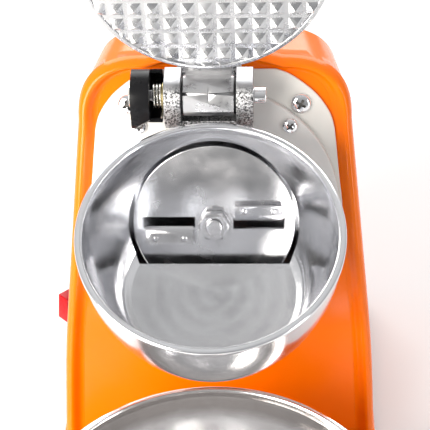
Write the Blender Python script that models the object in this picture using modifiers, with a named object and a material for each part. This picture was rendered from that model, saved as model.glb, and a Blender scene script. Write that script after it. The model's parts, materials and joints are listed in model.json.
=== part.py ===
"""Shaved ice machine: a leaning arch-shaped housing with a cast hopper, a hinged pressing lid, a
direct-drive blade disc and a receiving bowl. Metres, +Z up, front towards -Y, switch on the -X side."""

import math

import bmesh
import bpy
from mathutils import Matrix, Vector

MM = 0.001
GAP = 0.3 * MM

# Driving dimensions
FACE_LEAN = math.radians(19)
RIM_TILT = math.radians(17)
RIM_HEIGHT = 228 * MM
HOPPER_WALL = 4 * MM
HOPPER_DEPTH = 75 * MM
LID_RADIUS = 74.5 * MM
FACE_ORIGIN = Vector((0, 93 * MM, 195.6 * MM))
AXIS_DROP = -20 * MM
FLANGE_RADIUS = 79.5 * MM
HINGE_X = -2.5 * MM
HINGE_Y = 91.3 * MM
HINGE_Z = 259.9 * MM
BASE_TOP = 18 * MM
FOOT_HEIGHT = 8 * MM
KNEE = 77 * MM
SHOULDER = 229 * MM
HOUSING_TOP = 275 * MM
FOOT_HALF, KNEE_HALF, SHOULDER_HALF = 107 * MM, 103.5 * MM, 87.2 * MM
REAR_FOOT_Y = 195 * MM
REAR_TOP_Y = 168 * MM
REAR_DRAW_IN = 0.125
REAR_DROP = 6 * MM
WALL = 3 * MM
BORDER = 10 * MM
TOP_BORDER = 6.5 * MM
BORDER_RISE = 2.5 * MM
BOWL_Y = -106 * MM
SWITCH_Y = 97 * MM
SWITCH_Z = 81 * MM
PLATE_SCREWS = [(54.6 * MM, 48 * MM), (66 * MM, -82 * MM)]
PLUNGER_ACROSS = HINGE_X - 41.5 * MM
PLUNGER_UP = 59.5 * MM
FLANGE_SCREW_CIRCLE = 72.8 * MM
DRUM_RADIUS = 57.5 * MM
DRUM_BACK = 5.6 * MM
DRUM_FRONT = 44 * MM
CHAMBER_BACK = 8.5 * MM
CHAMBER_FRONT = 40 * MM
BLADE_PLANE = 30 * MM
EAR_INNER = 17 * MM
EAR_OUTER = 27.4 * MM
AXIS_OUT = 22.8 * MM
AXIS_UP = 60.1 * MM
PIN_RADIUS = 4.2 * MM
LID_CENTRE = 96.6 * MM
LID_BACK = 1.4 * MM
STRAP_BACK = 9 * MM
HANDLE_ROD = 5 * MM
SHAFT_RADIUS = 5 * MM
MOTOR_RADIUS = 38 * MM
MOTOR_BORE = 26 * MM
ROCKER_HALF = (13 * MM, 10.7 * MM)
FAR = 60 * MM

# Frames: local Z points out of the face, out of the hopper's mouth, and so on
FACE = Matrix.Translation(FACE_ORIGIN) @ Matrix.Rotation(math.radians(90) - FACE_LEAN, 4, "X")
AXLE = FACE @ Matrix.Translation((0, AXIS_DROP, 0))
RIM = Matrix.Translation((0, 0, RIM_HEIGHT)) @ Matrix.Rotation(RIM_TILT, 4, "X")
HINGE = Matrix.Translation((HINGE_X, HINGE_Y, HINGE_Z))
PIN = HINGE @ Matrix.Rotation(math.radians(90), 4, "Y")
LID = HINGE @ Matrix.Rotation(math.radians(90), 4, "X")  # Y up, Z forward out of the open lid's inner face
DISC_OF_LID = LID @ Matrix.Translation((0, LID_CENTRE, 0))
HANDLE = LID @ Matrix.Translation((0, 0, -STRAP_BACK)) @ Matrix.Rotation(math.radians(-90), 4, "X")
CORD = Matrix.Translation((0, 0, 40 * MM)) @ Matrix.Rotation(math.radians(-90), 4, "X")
BOWL = Matrix.Translation((0, BOWL_Y, BASE_TOP + GAP))
SIDEWAYS = Matrix(((0, 0, 1, 0), (0, 1, 0, 0), (-1, 0, 0, 0), (0, 0, 0, 1)))
CENTRE = Matrix.Translation((0, 6.47 * MM, 0))

for old in list(bpy.data.objects):
    bpy.data.objects.remove(old)

parts = bpy.data.collections.new("shaved_ice_machine")
cutters = bpy.data.collections.new("cutters")
bpy.context.scene.collection.children.link(parts)
bpy.context.scene.collection.children.link(cutters)


# ---------------------------------------------------------------- materials
def material(name, colour, roughness, metallic=0.0):
    made = bpy.data.materials.new(name)
    made.use_nodes = True
    shader = made.node_tree.nodes["Principled BSDF"]
    shader.inputs["Base Color"].default_value = (*colour, 1)
    shader.inputs["Roughness"].default_value = roughness
    shader.inputs["Metallic"].default_value = metallic
    return made


ORANGE = material("orange_abs", (0.85, 0.19, 0.01), 0.2)
CREAM = material("cream_plate", (0.68, 0.65, 0.59), 0.4)
FLANGE_GREY = material("flange_grey", (0.56, 0.54, 0.51), 0.45)
CAST = material("cast_aluminium", (0.78, 0.79, 0.81), 0.3, 1.0)
ROUGH_CAST = material("sand_cast_aluminium", (0.6, 0.6, 0.6), 0.55, 1.0)
STEEL = material("stainless", (0.72, 0.72, 0.74), 0.2, 1.0)
CHROME = material("chrome", (0.85, 0.85, 0.86), 0.08, 1.0)
BLACK = material("black_plastic", (0.02, 0.02, 0.022), 0.4)
RUBBER = material("black_rubber", (0.015, 0.015, 0.015), 0.8)
RED = material("red_switch", (0.6, 0.01, 0.012), 0.25)
IRON = material("motor_iron", (0.25, 0.25, 0.26), 0.6, 0.8)
COPPER = material("copper_winding", (0.6, 0.25, 0.1), 0.35, 0.9)
NATURAL = material("natural_plastic", (0.8, 0.79, 0.75), 0.5)


# ---------------------------------------------------------------- building tools
def add(name, mesh, surface, matrix=None):
    made = bpy.data.objects.new(name, mesh)
    if matrix is not None:
        made.matrix_world = matrix
    if surface:
        mesh.materials.clear()
        mesh.materials.append(surface)
        parts.objects.link(made)
    else:
        made.hide_render = True
        made.display_type = "WIRE"
        cutters.objects.link(made)
    return made


def smooth(made, degrees=35):
    made.data.shade_smooth()
    made.data.set_sharp_from_angle(angle=math.radians(degrees))
    return made


def mesh_from(bm, name):
    bmesh.ops.recalc_face_normals(bm, faces=bm.faces)
    mesh = bpy.data.meshes.new(name)
    bm.to_mesh(mesh)
    bm.free()
    return mesh


def block(name, low, high, surface=None, matrix=Matrix()):
    """A box between two corners, given in the matrix's own frame."""
    low, high = Vector(low), Vector(high)
    bm = bmesh.new()
    bmesh.ops.create_cube(bm, size=1)
    size = high - low
    bmesh.ops.scale(bm, vec=size, verts=bm.verts)
    bmesh.ops.translate(bm, vec=(low + high) / 2, verts=bm.verts)
    return add(name, mesh_from(bm, name), surface, matrix)


def rod(name, radius, low, high, surface=None, matrix=Matrix(), sides=32):
    """A cylinder along the frame's Z from low to high."""
    bm = bmesh.new()
    bmesh.ops.create_cone(
        bm, cap_ends=True, segments=sides, radius1=radius, radius2=radius, depth=high - low
    )
    bmesh.ops.translate(bm, vec=(0, 0, (low + high) / 2), verts=bm.verts)
    return add(name, mesh_from(bm, name), surface, matrix)


def bore(radius, frame, sides=24):
    """A cutter for a hole right through, along the frame's Z."""
    return rod("bore", radius, -FAR, FAR, None, frame, sides)


def turned(name, profile, surface=None, matrix=Matrix(), steps=32):
    """A closed profile of (radius, height) points turned about the frame's Z."""
    bm = bmesh.new()
    ring = [bm.verts.new((radius, 0, height)) for radius, height in profile]
    closed = all(radius > 0 for radius, _ in profile)
    for first, second in zip(ring, ring[1:] + ring[:1] if closed else ring[1:]):
        bm.edges.new((first, second))
    mesh = bpy.data.meshes.new(name)
    bm.to_mesh(mesh)
    bm.free()
    made = add(name, mesh, surface, matrix)
    screw = made.modifiers.new("turn", "SCREW")
    screw.steps = steps
    screw.render_steps = steps
    screw.use_merge_vertices = True
    screw.merge_threshold = 0.00001
    screw.use_normal_calculate = True
    return freeze(made)


def freeze(made):
    """The object with its modifiers applied and its faces turned outwards."""
    graph = bpy.context.evaluated_depsgraph_get()
    graph.update()
    mesh = bpy.data.meshes.new_from_object(made.evaluated_get(graph))
    made.modifiers.clear()
    bm = bmesh.new()
    bm.from_mesh(mesh)
    bmesh.ops.remove_doubles(bm, verts=bm.verts, dist=1e-6)
    bmesh.ops.recalc_face_normals(bm, faces=bm.faces)
    bm.to_mesh(mesh)
    bm.free()
    made.data = mesh
    return made


def slab(name, outline, low, high, surface=None, matrix=Matrix(), bevel=0.0):
    """A flat outline in the frame's XY, given thickness from low to high along Z."""
    curve = bpy.data.curves.new(name, "CURVE")
    curve.dimensions = "2D"
    curve.fill_mode = "BOTH"
    curve.extrude = (high - low) / 2
    spline = curve.splines.new("POLY")
    spline.points.add(len(outline) - 1)
    for point, (x, y) in zip(spline.points, outline):
        point.co = (x, y, 0, 1)
    spline.use_cyclic_u = True
    drawn = bpy.data.objects.new(name + "_outline", curve)
    cutters.objects.link(drawn)
    graph = bpy.context.evaluated_depsgraph_get()
    graph.update()
    mesh = bpy.data.meshes.new_from_object(drawn.evaluated_get(graph))
    bpy.data.objects.remove(drawn)
    bm = bmesh.new()
    bm.from_mesh(mesh)
    bmesh.ops.remove_doubles(bm, verts=bm.verts, dist=1e-6)
    bmesh.ops.dissolve_limit(bm, angle_limit=0.01, verts=bm.verts, edges=bm.edges)
    bmesh.ops.translate(bm, vec=(0, 0, (low + high) / 2), verts=bm.verts)
    made = add(name, mesh_from(bm, name), surface, matrix)
    if bevel:
        rounding = made.modifiers.new("rounding", "BEVEL")
        rounding.width = bevel
        rounding.segments = 2
        rounding.limit_method = "ANGLE"
        rounding.angle_limit = math.radians(50)
        freeze(made)
    return made


def combine(made, operation, *others):
    """Booleans with each of the others, which are then removed."""
    for other in others:
        step = made.modifiers.new(operation.lower(), "BOOLEAN")
        step.operation = operation
        step.solver = "EXACT"
        step.object = other
        freeze(made)
        bpy.data.objects.remove(other)
    return made


def cut(made, *others):
    return combine(made, "DIFFERENCE", *others)


def join(made, *others):
    return combine(made, "UNION", *others)


def arc(centre, radius, start, end, count):
    """Points on a circle, angles in degrees."""
    angles = [math.radians(start + (end - start) * i / (count - 1)) for i in range(count)]
    return [(centre[0] + radius * math.cos(t), centre[1] + radius * math.sin(t)) for t in angles]


def rounded_rectangle(half_width, low, high, radius, count=5):
    corners = [
        ((half_width - radius, high - radius), 0),
        ((-half_width + radius, high - radius), 90),
        ((-half_width + radius, low + radius), 180),
        ((half_width - radius, low + radius), 270),
    ]
    return [point for centre, start in corners for point in arc(centre, radius, start, start + 90, count)]


# ---------------------------------------------------------------- housing
def half_width(height):
    """Half of the housing's front width at a height: two straight runs, the upper one drawing in more."""
    if height < KNEE:
        return FOOT_HALF + (KNEE_HALF - FOOT_HALF) * height / KNEE
    share = (height - KNEE) / (SHOULDER - KNEE)
    return KNEE_HALF + (SHOULDER_HALF - KNEE_HALF) * share


def drawn_in(height, share):
    """What is left of the width at a height and a share of the way back: the higher, the more it draws in."""
    return 1 - REAR_DRAW_IN * share * height / HOUSING_TOP


def arch(inset, bottom, back=0.0, top_inset=None):
    """The housing's outline as (x, z) points, moved inwards by inset (by top_inset under the arch).
    back is the share of the way to the rear, where the outline is narrower and lower."""
    top_inset = inset if top_inset is None else top_inset
    corner_x, corner_z = 44 * MM, 39.5 * MM
    crown = HOUSING_TOP - SHOULDER - corner_z
    right = [(half_width(z) - inset, z) for z in (bottom + inset, KNEE, (KNEE + SHOULDER) / 2, SHOULDER)]
    flat = SHOULDER_HALF - corner_x
    for i in range(1, 8):
        turn = math.radians(90 * i / 8)
        x = flat + (corner_x - inset) * math.cos(turn) ** 0.8
        right.append((x, SHOULDER + (corner_z - top_inset) * math.sin(turn) ** 0.8))
    top = SHOULDER + corner_z - top_inset
    right += [(flat * share, top + crown * (1 - share * share)) for share in (1, 0.5)]
    outline = right + [(0, top + crown)] + [(-x, z) for x, z in reversed(right)]
    lower = REAR_DROP * back / (HOUSING_TOP - bottom)
    return [(x * drawn_in(z, back), z - lower * max(0, z - bottom)) for x, z in outline]


def face_y(height, forward=0.0):
    """Y of the leaning face's plane at a height, moved out of the face by forward."""
    return FACE_ORIGIN.y + (height - FACE_ORIGIN.z) * math.tan(FACE_LEAN) - forward / math.cos(FACE_LEAN)


def rear_y(height):
    share = (height - BASE_TOP) / (HOUSING_TOP - BASE_TOP)
    return REAR_FOOT_Y + (REAR_TOP_Y - REAR_FOOT_Y) * share


def loaf(name, stations, bottom, surface=None):
    """A loft through arch outlines. Each station is (share of the way back, push forward there, inset)."""
    bm = bmesh.new()
    rings = []
    for share, push, inset in stations:
        ring = []
        for x, z in arch(inset, bottom, share):
            front = face_y(z)
            y = front + (rear_y(z) - front) * share - push
            ring.append(bm.verts.new((x, y, z)))
        rings.append(ring)
    for near, far in zip(rings, rings[1:]):
        for i in range(len(near)):
            j = (i + 1) % len(near)
            bm.faces.new((near[i], near[j], far[j], far[i]))
    bm.faces.new(rings[0])
    bm.faces.new(rings[-1])
    return add(name, mesh_from(bm, name), surface)


def on_face(outline):
    """World (x, z) points of an upright outline as (x, up the face) points."""
    return [(x, (z - FACE_ORIGIN.z) / math.cos(FACE_LEAN)) for x, z in outline]


def wall_frame(y, z):
    """A frame on the housing's -X wall: Z out of the wall, X towards the front, Y up."""

    def wall_point(at_y, at_z):
        front = face_y(at_z)
        share = (at_y - front) / (rear_y(at_z) - front)
        return Vector((-half_width(at_z) * drawn_in(at_z, share), at_y, at_z))

    here = wall_point(y, z)
    step = 5 * MM
    forward = (wall_point(y - step, z) - here).normalized()
    up = (wall_point(y, z + step) - here).normalized()
    out = forward.cross(up).normalized()
    up = out.cross(forward).normalized()
    turn = Matrix((forward, up, out)).transposed().to_4x4()
    return Matrix.Translation(here) @ turn


SWITCH = wall_frame(SWITCH_Y, SWITCH_Z)


def opening_outline(inset):
    return arch(BORDER + inset, BASE_TOP + GAP, 0.0, TOP_BORDER + inset)


def housing_shell():
    """A rolled border in front, straight walls, a rounded back, open below and behind the front panel."""
    rise = BORDER_RISE / math.cos(FACE_LEAN)
    roll = [(5.5, 0), (2.4, 0.8), (0.6, 2.6), (0, 6)]
    outer = [(0, rise - back * MM, inset * MM) for inset, back in roll]
    outer += [(0.5, 0, 0), (1, 14 * MM, 0), (1, 4 * MM, 4 * MM), (1, 0, 14 * MM)]
    shell = loaf("housing_shell", outer, BASE_TOP + GAP, ORANGE)
    inner = [(0, -9 * MM, WALL), (0.5, 0, WALL), (1, 14 * MM, WALL), (1, 4 * MM + WALL, 15 * MM)]
    hollow = loaf("hollow", inner, BASE_TOP - 8 * MM)
    opening = slab("opening", on_face(opening_outline(0)), -20 * MM, 20 * MM, None, FACE)
    cut(shell, hollow, opening)
    for i in range(6):
        z = (70 + 14 * i) * MM
        cut(shell, block("vent", (-45 * MM, 150 * MM, z), (45 * MM, 210 * MM, z + 5 * MM)))
    along, across = ROCKER_HALF[0] + 1.2 * MM, ROCKER_HALF[1] + 1.2 * MM
    cut(shell, block("switch_hole", (-along, -across, -8 * MM), (along, across, 8 * MM), None, SWITCH))
    cut(shell, rod("cord_hole", 6.3 * MM, 170 * MM, 210 * MM, None, CORD, 20))
    return smooth(shell)


def plunger_hole():
    low = (PLUNGER_ACROSS - 2.5 * MM, PLUNGER_UP - 2.5 * MM, -20 * MM)
    return block("plunger_hole", low, (PLUNGER_ACROSS + 2.5 * MM, PLUNGER_UP + 2.5 * MM, 20 * MM), None, FACE)


def drilled(plate, shaft_hole):
    """The holes that the front panel and the face plate share."""
    cut(plate, bore(shaft_hole, AXLE), plunger_hole())
    for x, v in plate_screw_places():
        cut(plate, bore(2.4 * MM, FACE @ Matrix.Translation((x, v, 0)), 12))
    return plate


def front_panel():
    outline = on_face(opening_outline(GAP))
    return drilled(slab("front_panel", outline, -2.3 * MM - WALL, -2.3 * MM, ORANGE, FACE), 14 * MM)


def base_platform():
    outline = rounded_rectangle(107 * MM, -205 * MM, REAR_FOOT_Y, 30 * MM)
    platform = slab("base_platform", outline, FOOT_HEIGHT + GAP, BASE_TOP, ORANGE, Matrix(), 1.5 * MM)
    return smooth(platform)


def feet():
    for side in (-1, 1):
        for end, y in (("front", -165 * MM), ("rear", 160 * MM)):
            name = f"foot_{end}_{'left' if side < 0 else 'right'}"
            place = Matrix.Translation((side * 80 * MM, y, 0))
            profile = [(0, FOOT_HEIGHT), (12 * MM, FOOT_HEIGHT), (14 * MM, 1.5 * MM), (13 * MM, 0), (0, 0)]
            smooth(turned(name, profile, RUBBER, place, 20))


# ---------------------------------------------------------------- face plate and screws
def plate_screw_places():
    return [(side * x, v) for x, v in PLATE_SCREWS for side in (-1, 1)]


def plate_outline():
    """(across, up the face): flat top, sloping shoulders, sides that follow the housing, rounded foot."""
    foot = [(30, -106), (50, -104), (66, -97), (75, -86), (80, -60), (82, -25)]
    side = [(79.5, 0), (77, 24), (75.6, 34), (72.4, 43)]
    top = [(65, 53.5), (56, 61.5), (47, 67.5), (39, 70.5)]
    right = [(x * MM, v * MM) for x, v in foot + side + top]
    return right + [(-x, v) for x, v in reversed(right)]


def face_plate():
    return drilled(slab("face_plate", plate_outline(), -2 * MM, 0, CREAM, FACE), 13 * MM)


def truss_screw(name, head_radius, head_height, reach, shank_radius, place):
    """A domed head standing on the frame's plane, with its shank going down into it."""
    profile = [
        (0, head_height),
        (head_radius * 0.55, head_height * 0.86),
        (head_radius * 0.9, head_height * 0.42),
        (head_radius, GAP),
        (shank_radius, GAP),
        (shank_radius, -reach),
        (0, -reach),
    ]
    return smooth(turned(name, profile, CHROME, place, 18))


def screws():
    for x, v in plate_screw_places():
        name = f"plate_screw_{'upper' if v > 0 else 'lower'}_{'left' if x < 0 else 'right'}"
        truss_screw(name, 6.6 * MM, 3.4 * MM, 7 * MM, 2 * MM, FACE @ Matrix.Translation((x, v, 0)))
    for x, v in flange_screw_places():
        name = f"flange_screw_{'upper' if v > 0 else 'lower'}_{'left' if x < 0 else 'right'}"
        place = AXLE @ Matrix.Translation((x, v, 5.3 * MM))
        truss_screw(name, 5 * MM, 3 * MM, 4 * MM, 1.6 * MM, place)


def flange_screw_places():
    turn = math.radians(49)
    x, v = FLANGE_SCREW_CIRCLE * math.cos(turn), FLANGE_SCREW_CIRCLE * math.sin(turn)
    return [(x, v), (-x, v), (x, -v), (-x, -v)]


def hopper_flange():
    profile = [(9 * MM, 5.3 * MM), (FLANGE_RADIUS - 1 * MM, 5.3 * MM), (FLANGE_RADIUS, 4.3 * MM)]
    profile += [(FLANGE_RADIUS, GAP), (9 * MM, GAP)]
    flange = turned("hopper_flange", profile, FLANGE_GREY, AXLE, 56)
    for x, v in flange_screw_places():
        place = AXLE @ Matrix.Translation((x, v, 0))
        cut(flange, rod("screw_hole", 2 * MM, 1.2 * MM, 20 * MM, None, place, 12))
    return smooth(flange)


# ---------------------------------------------------------------- hopper
def cup_profile(inset):
    """(radius, height below the mouth) down the hopper's outside, moved inwards by inset."""
    wall = [(79, 3), (78.6, 10), (77.4, 22), (75, 35), (71.4, 48), (66.8, 60), (62.8, 69)]
    points = [(radius * MM - inset, -depth * MM) for radius, depth in wall]
    points += [(59 * MM - inset, -HOPPER_DEPTH + 1.6 * MM + inset), (55 * MM - inset, -HOPPER_DEPTH + inset)]
    return points


def hopper():
    """A tilted cup joined to a drum on the axle. The cup opens into the blade chamber behind it."""
    far, floor = 150 * MM, HOPPER_WALL - HOPPER_DEPTH
    lip = [(75 * MM, 0), (77 * MM, 0), (78.6 * MM, -0.8 * MM)]
    outside = [(0, 0)] + lip + cup_profile(0) + [(0, -HOPPER_DEPTH)]
    cup = turned("hopper", outside, CAST, RIM, 56)
    join(cup, rod("drum", DRUM_RADIUS, DRUM_BACK, DRUM_FRONT, None, AXLE, 56))
    above = slab("above", arc((0, 0), 120 * MM, 0, 340, 18), 0, 60 * MM, None, RIM)
    behind = block("behind", (-far, -far, -FAR), (far, far, DRUM_BACK), None, AXLE)
    cut(cup, above, behind)
    inside = [(0, 10 * MM), (75 * MM, 10 * MM)] + cup_profile(HOPPER_WALL) + [(0, floor)]
    room = turned("room", inside, None, RIM, 56)
    cut(room, block("behind", (-far, -far, -FAR), (far, far, BLADE_PLANE), None, AXLE))
    chamber = rod("chamber", DRUM_RADIUS - HOPPER_WALL, CHAMBER_BACK, CHAMBER_FRONT, None, AXLE, 56)
    shaft_hole = rod("shaft_hole", 7 * MM, 0, 12 * MM, None, AXLE, 24)
    slot = block("slot", (-17 * MM, -70 * MM, 10 * MM), (17 * MM, -30 * MM, 27 * MM), None, AXLE)
    cut(cup, room, chamber, shaft_hole, slot)
    return smooth(cup, 40)


def outlet_chute():
    """A sloping square spout from the drum's underside to above the bowl."""

    def side_profile(shrink):
        top_front, top_back = face_point(31 * MM - shrink, -68 * MM), face_point(7 * MM + shrink, -68 * MM)
        low_back, low_front = (21 * MM - shrink, 109 * MM), (-3 * MM + shrink, 109 * MM)
        if shrink:
            low_back, low_front = (low_back[0] - 3 * MM, 105 * MM), (low_front[0] - 3 * MM, 105 * MM)
            top_front = (top_front[0] + 4 * MM, top_front[1] + 3 * MM)
            top_back = (top_back[0] + 4 * MM, top_back[1] + 3 * MM)
        return [top_front, top_back, low_back, low_front]

    def face_point(out, up):
        place = FACE @ Vector((0, up, out))
        return (place.y, place.z)

    upright = Matrix(((0, 0, 1, 0), (1, 0, 0, 0), (0, 1, 0, 0), (0, 0, 0, 1)))
    chute = slab("outlet_chute", side_profile(0), -21 * MM, 21 * MM, CREAM, upright)
    passage = slab("passage", side_profile(2.5 * MM), -18.5 * MM, 18.5 * MM, None, upright)
    drum = rod("drum", DRUM_RADIUS + GAP, -20 * MM, 60 * MM, None, AXLE, 56)
    flange = rod("flange", FLANGE_RADIUS + 1 * MM, -20 * MM, DRUM_BACK, None, AXLE, 40)
    return cut(chute, passage, drum, flange)


# ---------------------------------------------------------------- hinge
def ear_outline():
    """Side view of an ear: (-out of the face, up the face)."""
    head = arc((-AXIS_OUT, AXIS_UP), 12 * MM, 100, 225, 9)
    foot = [(-27 * MM, 43 * MM), (-20 * MM, 38.5 * MM), (-5.6 * MM, 38.5 * MM)]
    top = [(-5.6 * MM, 61 * MM), (-GAP, 61 * MM), (-GAP, 69.5 * MM), (-5 * MM, 73 * MM), (-14 * MM, 76 * MM)]
    return head + foot + top


def hinge_bracket():
    """Two ears joined by a web on the face and a bridge bar below the lid's barrel."""
    bracket_place = FACE @ Matrix.Translation((HINGE_X, 0, 0))
    side = bracket_place @ SIDEWAYS
    reach = EAR_INNER + 3 * MM
    bracket = slab("hinge_bracket", ear_outline(), EAR_INNER, EAR_OUTER, ROUGH_CAST, side)
    join(bracket, slab("other_ear", ear_outline(), -EAR_OUTER, -EAR_INNER, None, side))
    web = block("web", (-reach, 40 * MM, 5.6 * MM), (reach, 75 * MM, 8.6 * MM), None, bracket_place)
    bridge = block("bridge", (-reach, 39.5 * MM, 13 * MM), (reach, 44.5 * MM, 25 * MM), None, bracket_place)
    join(bracket, web, bridge)
    return cut(bracket, bore(PIN_RADIUS + 0.4 * MM, PIN))


def hinge_pin():
    head, face, end = 35.4 * MM, EAR_OUTER + GAP, -49 * MM
    profile = [(0, head), (4.6 * MM, head), (5.2 * MM, head - 0.8 * MM), (5.2 * MM, face)]
    profile += [(PIN_RADIUS, face), (PIN_RADIUS, end), (0, end)]
    return smooth(turned("hinge_pin", profile, CHROME, PIN, 24))


def pin_clip():
    ring = [(4.5 * MM, 0.5 * MM), (7 * MM, 0.5 * MM), (7 * MM, -0.5 * MM), (4.5 * MM, -0.5 * MM)]
    return turned("pin_clip", ring, STEEL, PIN @ Matrix.Translation((0, 0, -48.4 * MM)), 24)


def safety_cam():
    """Black cam beside the left ear, turning with the lid, with a guard behind the spring.
    Its lower tip comes round to the switch plunger as the lid shuts."""
    tip = [(-15.8, -10.2), (-14.4, -14.3), (-12.2, -14.9), (-6, -11.5), (1, -17.5)]
    outline = arc((0, 0), 16.5 * MM, -62, 202, 18) + [(x * MM, y * MM) for x, y in tip]
    place = PIN @ Matrix.Rotation(math.radians(90), 4, "Z")
    cam = slab("safety_cam", outline, -47.4 * MM, -36 * MM, BLACK, place)
    taper = [(-30, -12.5), (-50, -22.5), (-50, -30), (-30, -30)]
    slanted = HINGE @ Matrix.Rotation(math.radians(49.5), 4, "X")
    cut(cam, slab("taper", [(x * MM, y * MM) for x, y in taper], -40 * MM, 40 * MM, None, slanted))
    guard = arc((0, 0), 16.4 * MM, -38, 140, 14) + arc((0, 0), 14 * MM, 140, -38, 14)
    join(cam, slab("spring_guard", guard, -37 * MM, -28.6 * MM, None, PIN))
    return cut(cam, bore(PIN_RADIUS + GAP, PIN))


def coil(name, centre_frame, radius, wire, turns, start, end, surface, tails):
    """A helical spring along the frame's Z, with a straight tail at each end."""
    curve = bpy.data.curves.new(name, "CURVE")
    curve.dimensions = "3D"
    curve.bevel_depth = wire
    curve.bevel_resolution = 2
    curve.use_fill_caps = True
    per_turn = 14
    count = int(turns * per_turn) + 1
    points = [Vector(tails[0])]
    for i in range(count):
        turn = 2 * math.pi * i / per_turn
        z = start + (end - start) * i / (count - 1)
        points.append(Vector((radius * math.cos(turn), radius * math.sin(turn), z)))
    points.append(Vector(tails[1]))
    spline = curve.splines.new("POLY")
    spline.points.add(len(points) - 1)
    for point, place in zip(spline.points, points):
        point.co = (*place, 1)
    drawn = bpy.data.objects.new(name + "_path", curve)
    cutters.objects.link(drawn)
    graph = bpy.context.evaluated_depsgraph_get()
    graph.update()
    mesh = bpy.data.meshes.new_from_object(drawn.evaluated_get(graph))
    bpy.data.objects.remove(drawn)
    bm = bmesh.new()
    bm.from_mesh(mesh)
    bmesh.ops.remove_doubles(bm, verts=bm.verts, dist=1e-7)
    return smooth(add(name, mesh_from(bm, name), surface, centre_frame), 60)


def torsion_spring():
    first = (7 * MM, 10.6 * MM, -35 * MM)
    last = (7 * MM, -13 * MM, -28.6 * MM)
    return coil("torsion_spring", PIN, 7 * MM, 0.7 * MM, 3, -34.8 * MM, -28.8 * MM, STEEL, (first, last))


# ---------------------------------------------------------------- lid, drawn open
def lid_plate():
    tile, rim, outer = 7.4 * MM, 3.6 * MM, LID_RADIUS - 1 * MM
    profile = [(0, tile), (69 * MM, tile), (70 * MM, rim), (outer, rim), (LID_RADIUS, rim - 1 * MM)]
    profile += [(LID_RADIUS, 0), (LID_RADIUS - 1.5 * MM, -LID_BACK), (0, -LID_BACK)]
    return smooth(turned("lid_plate", profile, CAST, DISC_OF_LID, 56))


def lid_arm():
    """Barrel on the pin, strap and rib up the lid's back, and a boss that holds the handle's rod."""
    back, end = LID_BACK + GAP, 178 * MM
    barrel = rod("lid_arm", 12.5 * MM, -15.4 * MM, 15.4 * MM, CAST, PIN, 28)
    strap_outline = [(-14 * MM, 0), (14 * MM, 0), (14 * MM, 60 * MM), (10 * MM, end)]
    strap_outline += arc((0, end), 10 * MM, 30, 150, 5) + [(-10 * MM, end), (-14 * MM, 60 * MM)]
    strap = slab("strap", strap_outline, -STRAP_BACK, -back, None, LID)
    rib = block("rib", (-3 * MM, 8 * MM, -15 * MM), (3 * MM, 165 * MM, -5 * MM), None, LID)
    boss = rod("boss", 8.5 * MM, 150 * MM, 187 * MM, None, HANDLE, 20)
    join(barrel, strap, rib, boss)
    clear = rod("clear", LID_RADIUS + 1.5 * MM, -back, 12 * MM, None, DISC_OF_LID, 40)
    socket = rod("socket", HANDLE_ROD + 0.4 * MM, 158 * MM, 200 * MM, None, HANDLE, 20)
    return smooth(cut(barrel, clear, socket, bore(PIN_RADIUS + GAP, PIN)))


def handle():
    rod("handle_rod", HANDLE_ROD, 160 * MM, 283 * MM, STEEL, HANDLE, 20)
    inner, start, end = HANDLE_ROD + 0.4 * MM, 196 * MM, 283.5 * MM
    profile = [(inner, start), (11 * MM, start), (12.5 * MM, start + 3 * MM), (12 * MM, 225 * MM)]
    profile += [(12.5 * MM, 260 * MM), (13 * MM, 282 * MM), (11 * MM, 287 * MM), (0.5 * MM, 288.5 * MM)]
    profile += [(0.5 * MM, end), (inner, end)]
    smooth(turned("handle_grip", profile, BLACK, HANDLE, 24))


# ---------------------------------------------------------------- blades and motor, along AXLE (Z forward)
def blade_disc():
    outer, front, back = 51 * MM, 33 * MM, BLADE_PLANE + 0.4 * MM
    profile = [(SHAFT_RADIUS + 0.4 * MM, front), (outer - 0.5 * MM, front), (outer, front - 0.6 * MM)]
    profile += [(outer, back), (SHAFT_RADIUS + 0.4 * MM, back)]
    disc = turned("blade_disc", profile, STEEL, AXLE, 40)
    for turn in (0, 180):
        frame = AXLE @ Matrix.Rotation(math.radians(turn), 4, "Z")
        cut(disc, block("slot", (12 * MM, -4 * MM, 20 * MM), (44 * MM, 3 * MM, 40 * MM), None, frame))
    return disc


def blades():
    for index, turn in enumerate((0, 180)):
        frame = AXLE @ Matrix.Rotation(math.radians(turn), 4, "Z")
        lean = Matrix.Translation((0, 0.6 * MM, 33.4 * MM)) @ Matrix.Rotation(math.radians(12), 4, "X")
        low, high = (13 * MM, 1 * MM, 0.6 * MM), (43 * MM, 13 * MM, 2.2 * MM)
        block(f"blade_{index + 1}", low, high, STEEL, frame @ lean)


def shaft_pieces():
    front, rear = 42 * MM, -76 * MM
    profile = [(0, front), (4.2 * MM, front), (SHAFT_RADIUS, front - 1 * MM), (SHAFT_RADIUS, rear), (0, rear)]
    smooth(turned("drive_shaft", profile, STEEL, AXLE, 20))
    cut(rod("disc_nut", 10 * MM, 33.3 * MM, 40 * MM, STEEL, AXLE, 6), bore(SHAFT_RADIUS + GAP, AXLE, 20))


def ring(name, inner, outer, low, high, surface, steps=28):
    profile = [(inner, high), (outer, high), (outer, low), (inner, low)]
    return smooth(turned(name, profile, surface, AXLE, steps))


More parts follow.
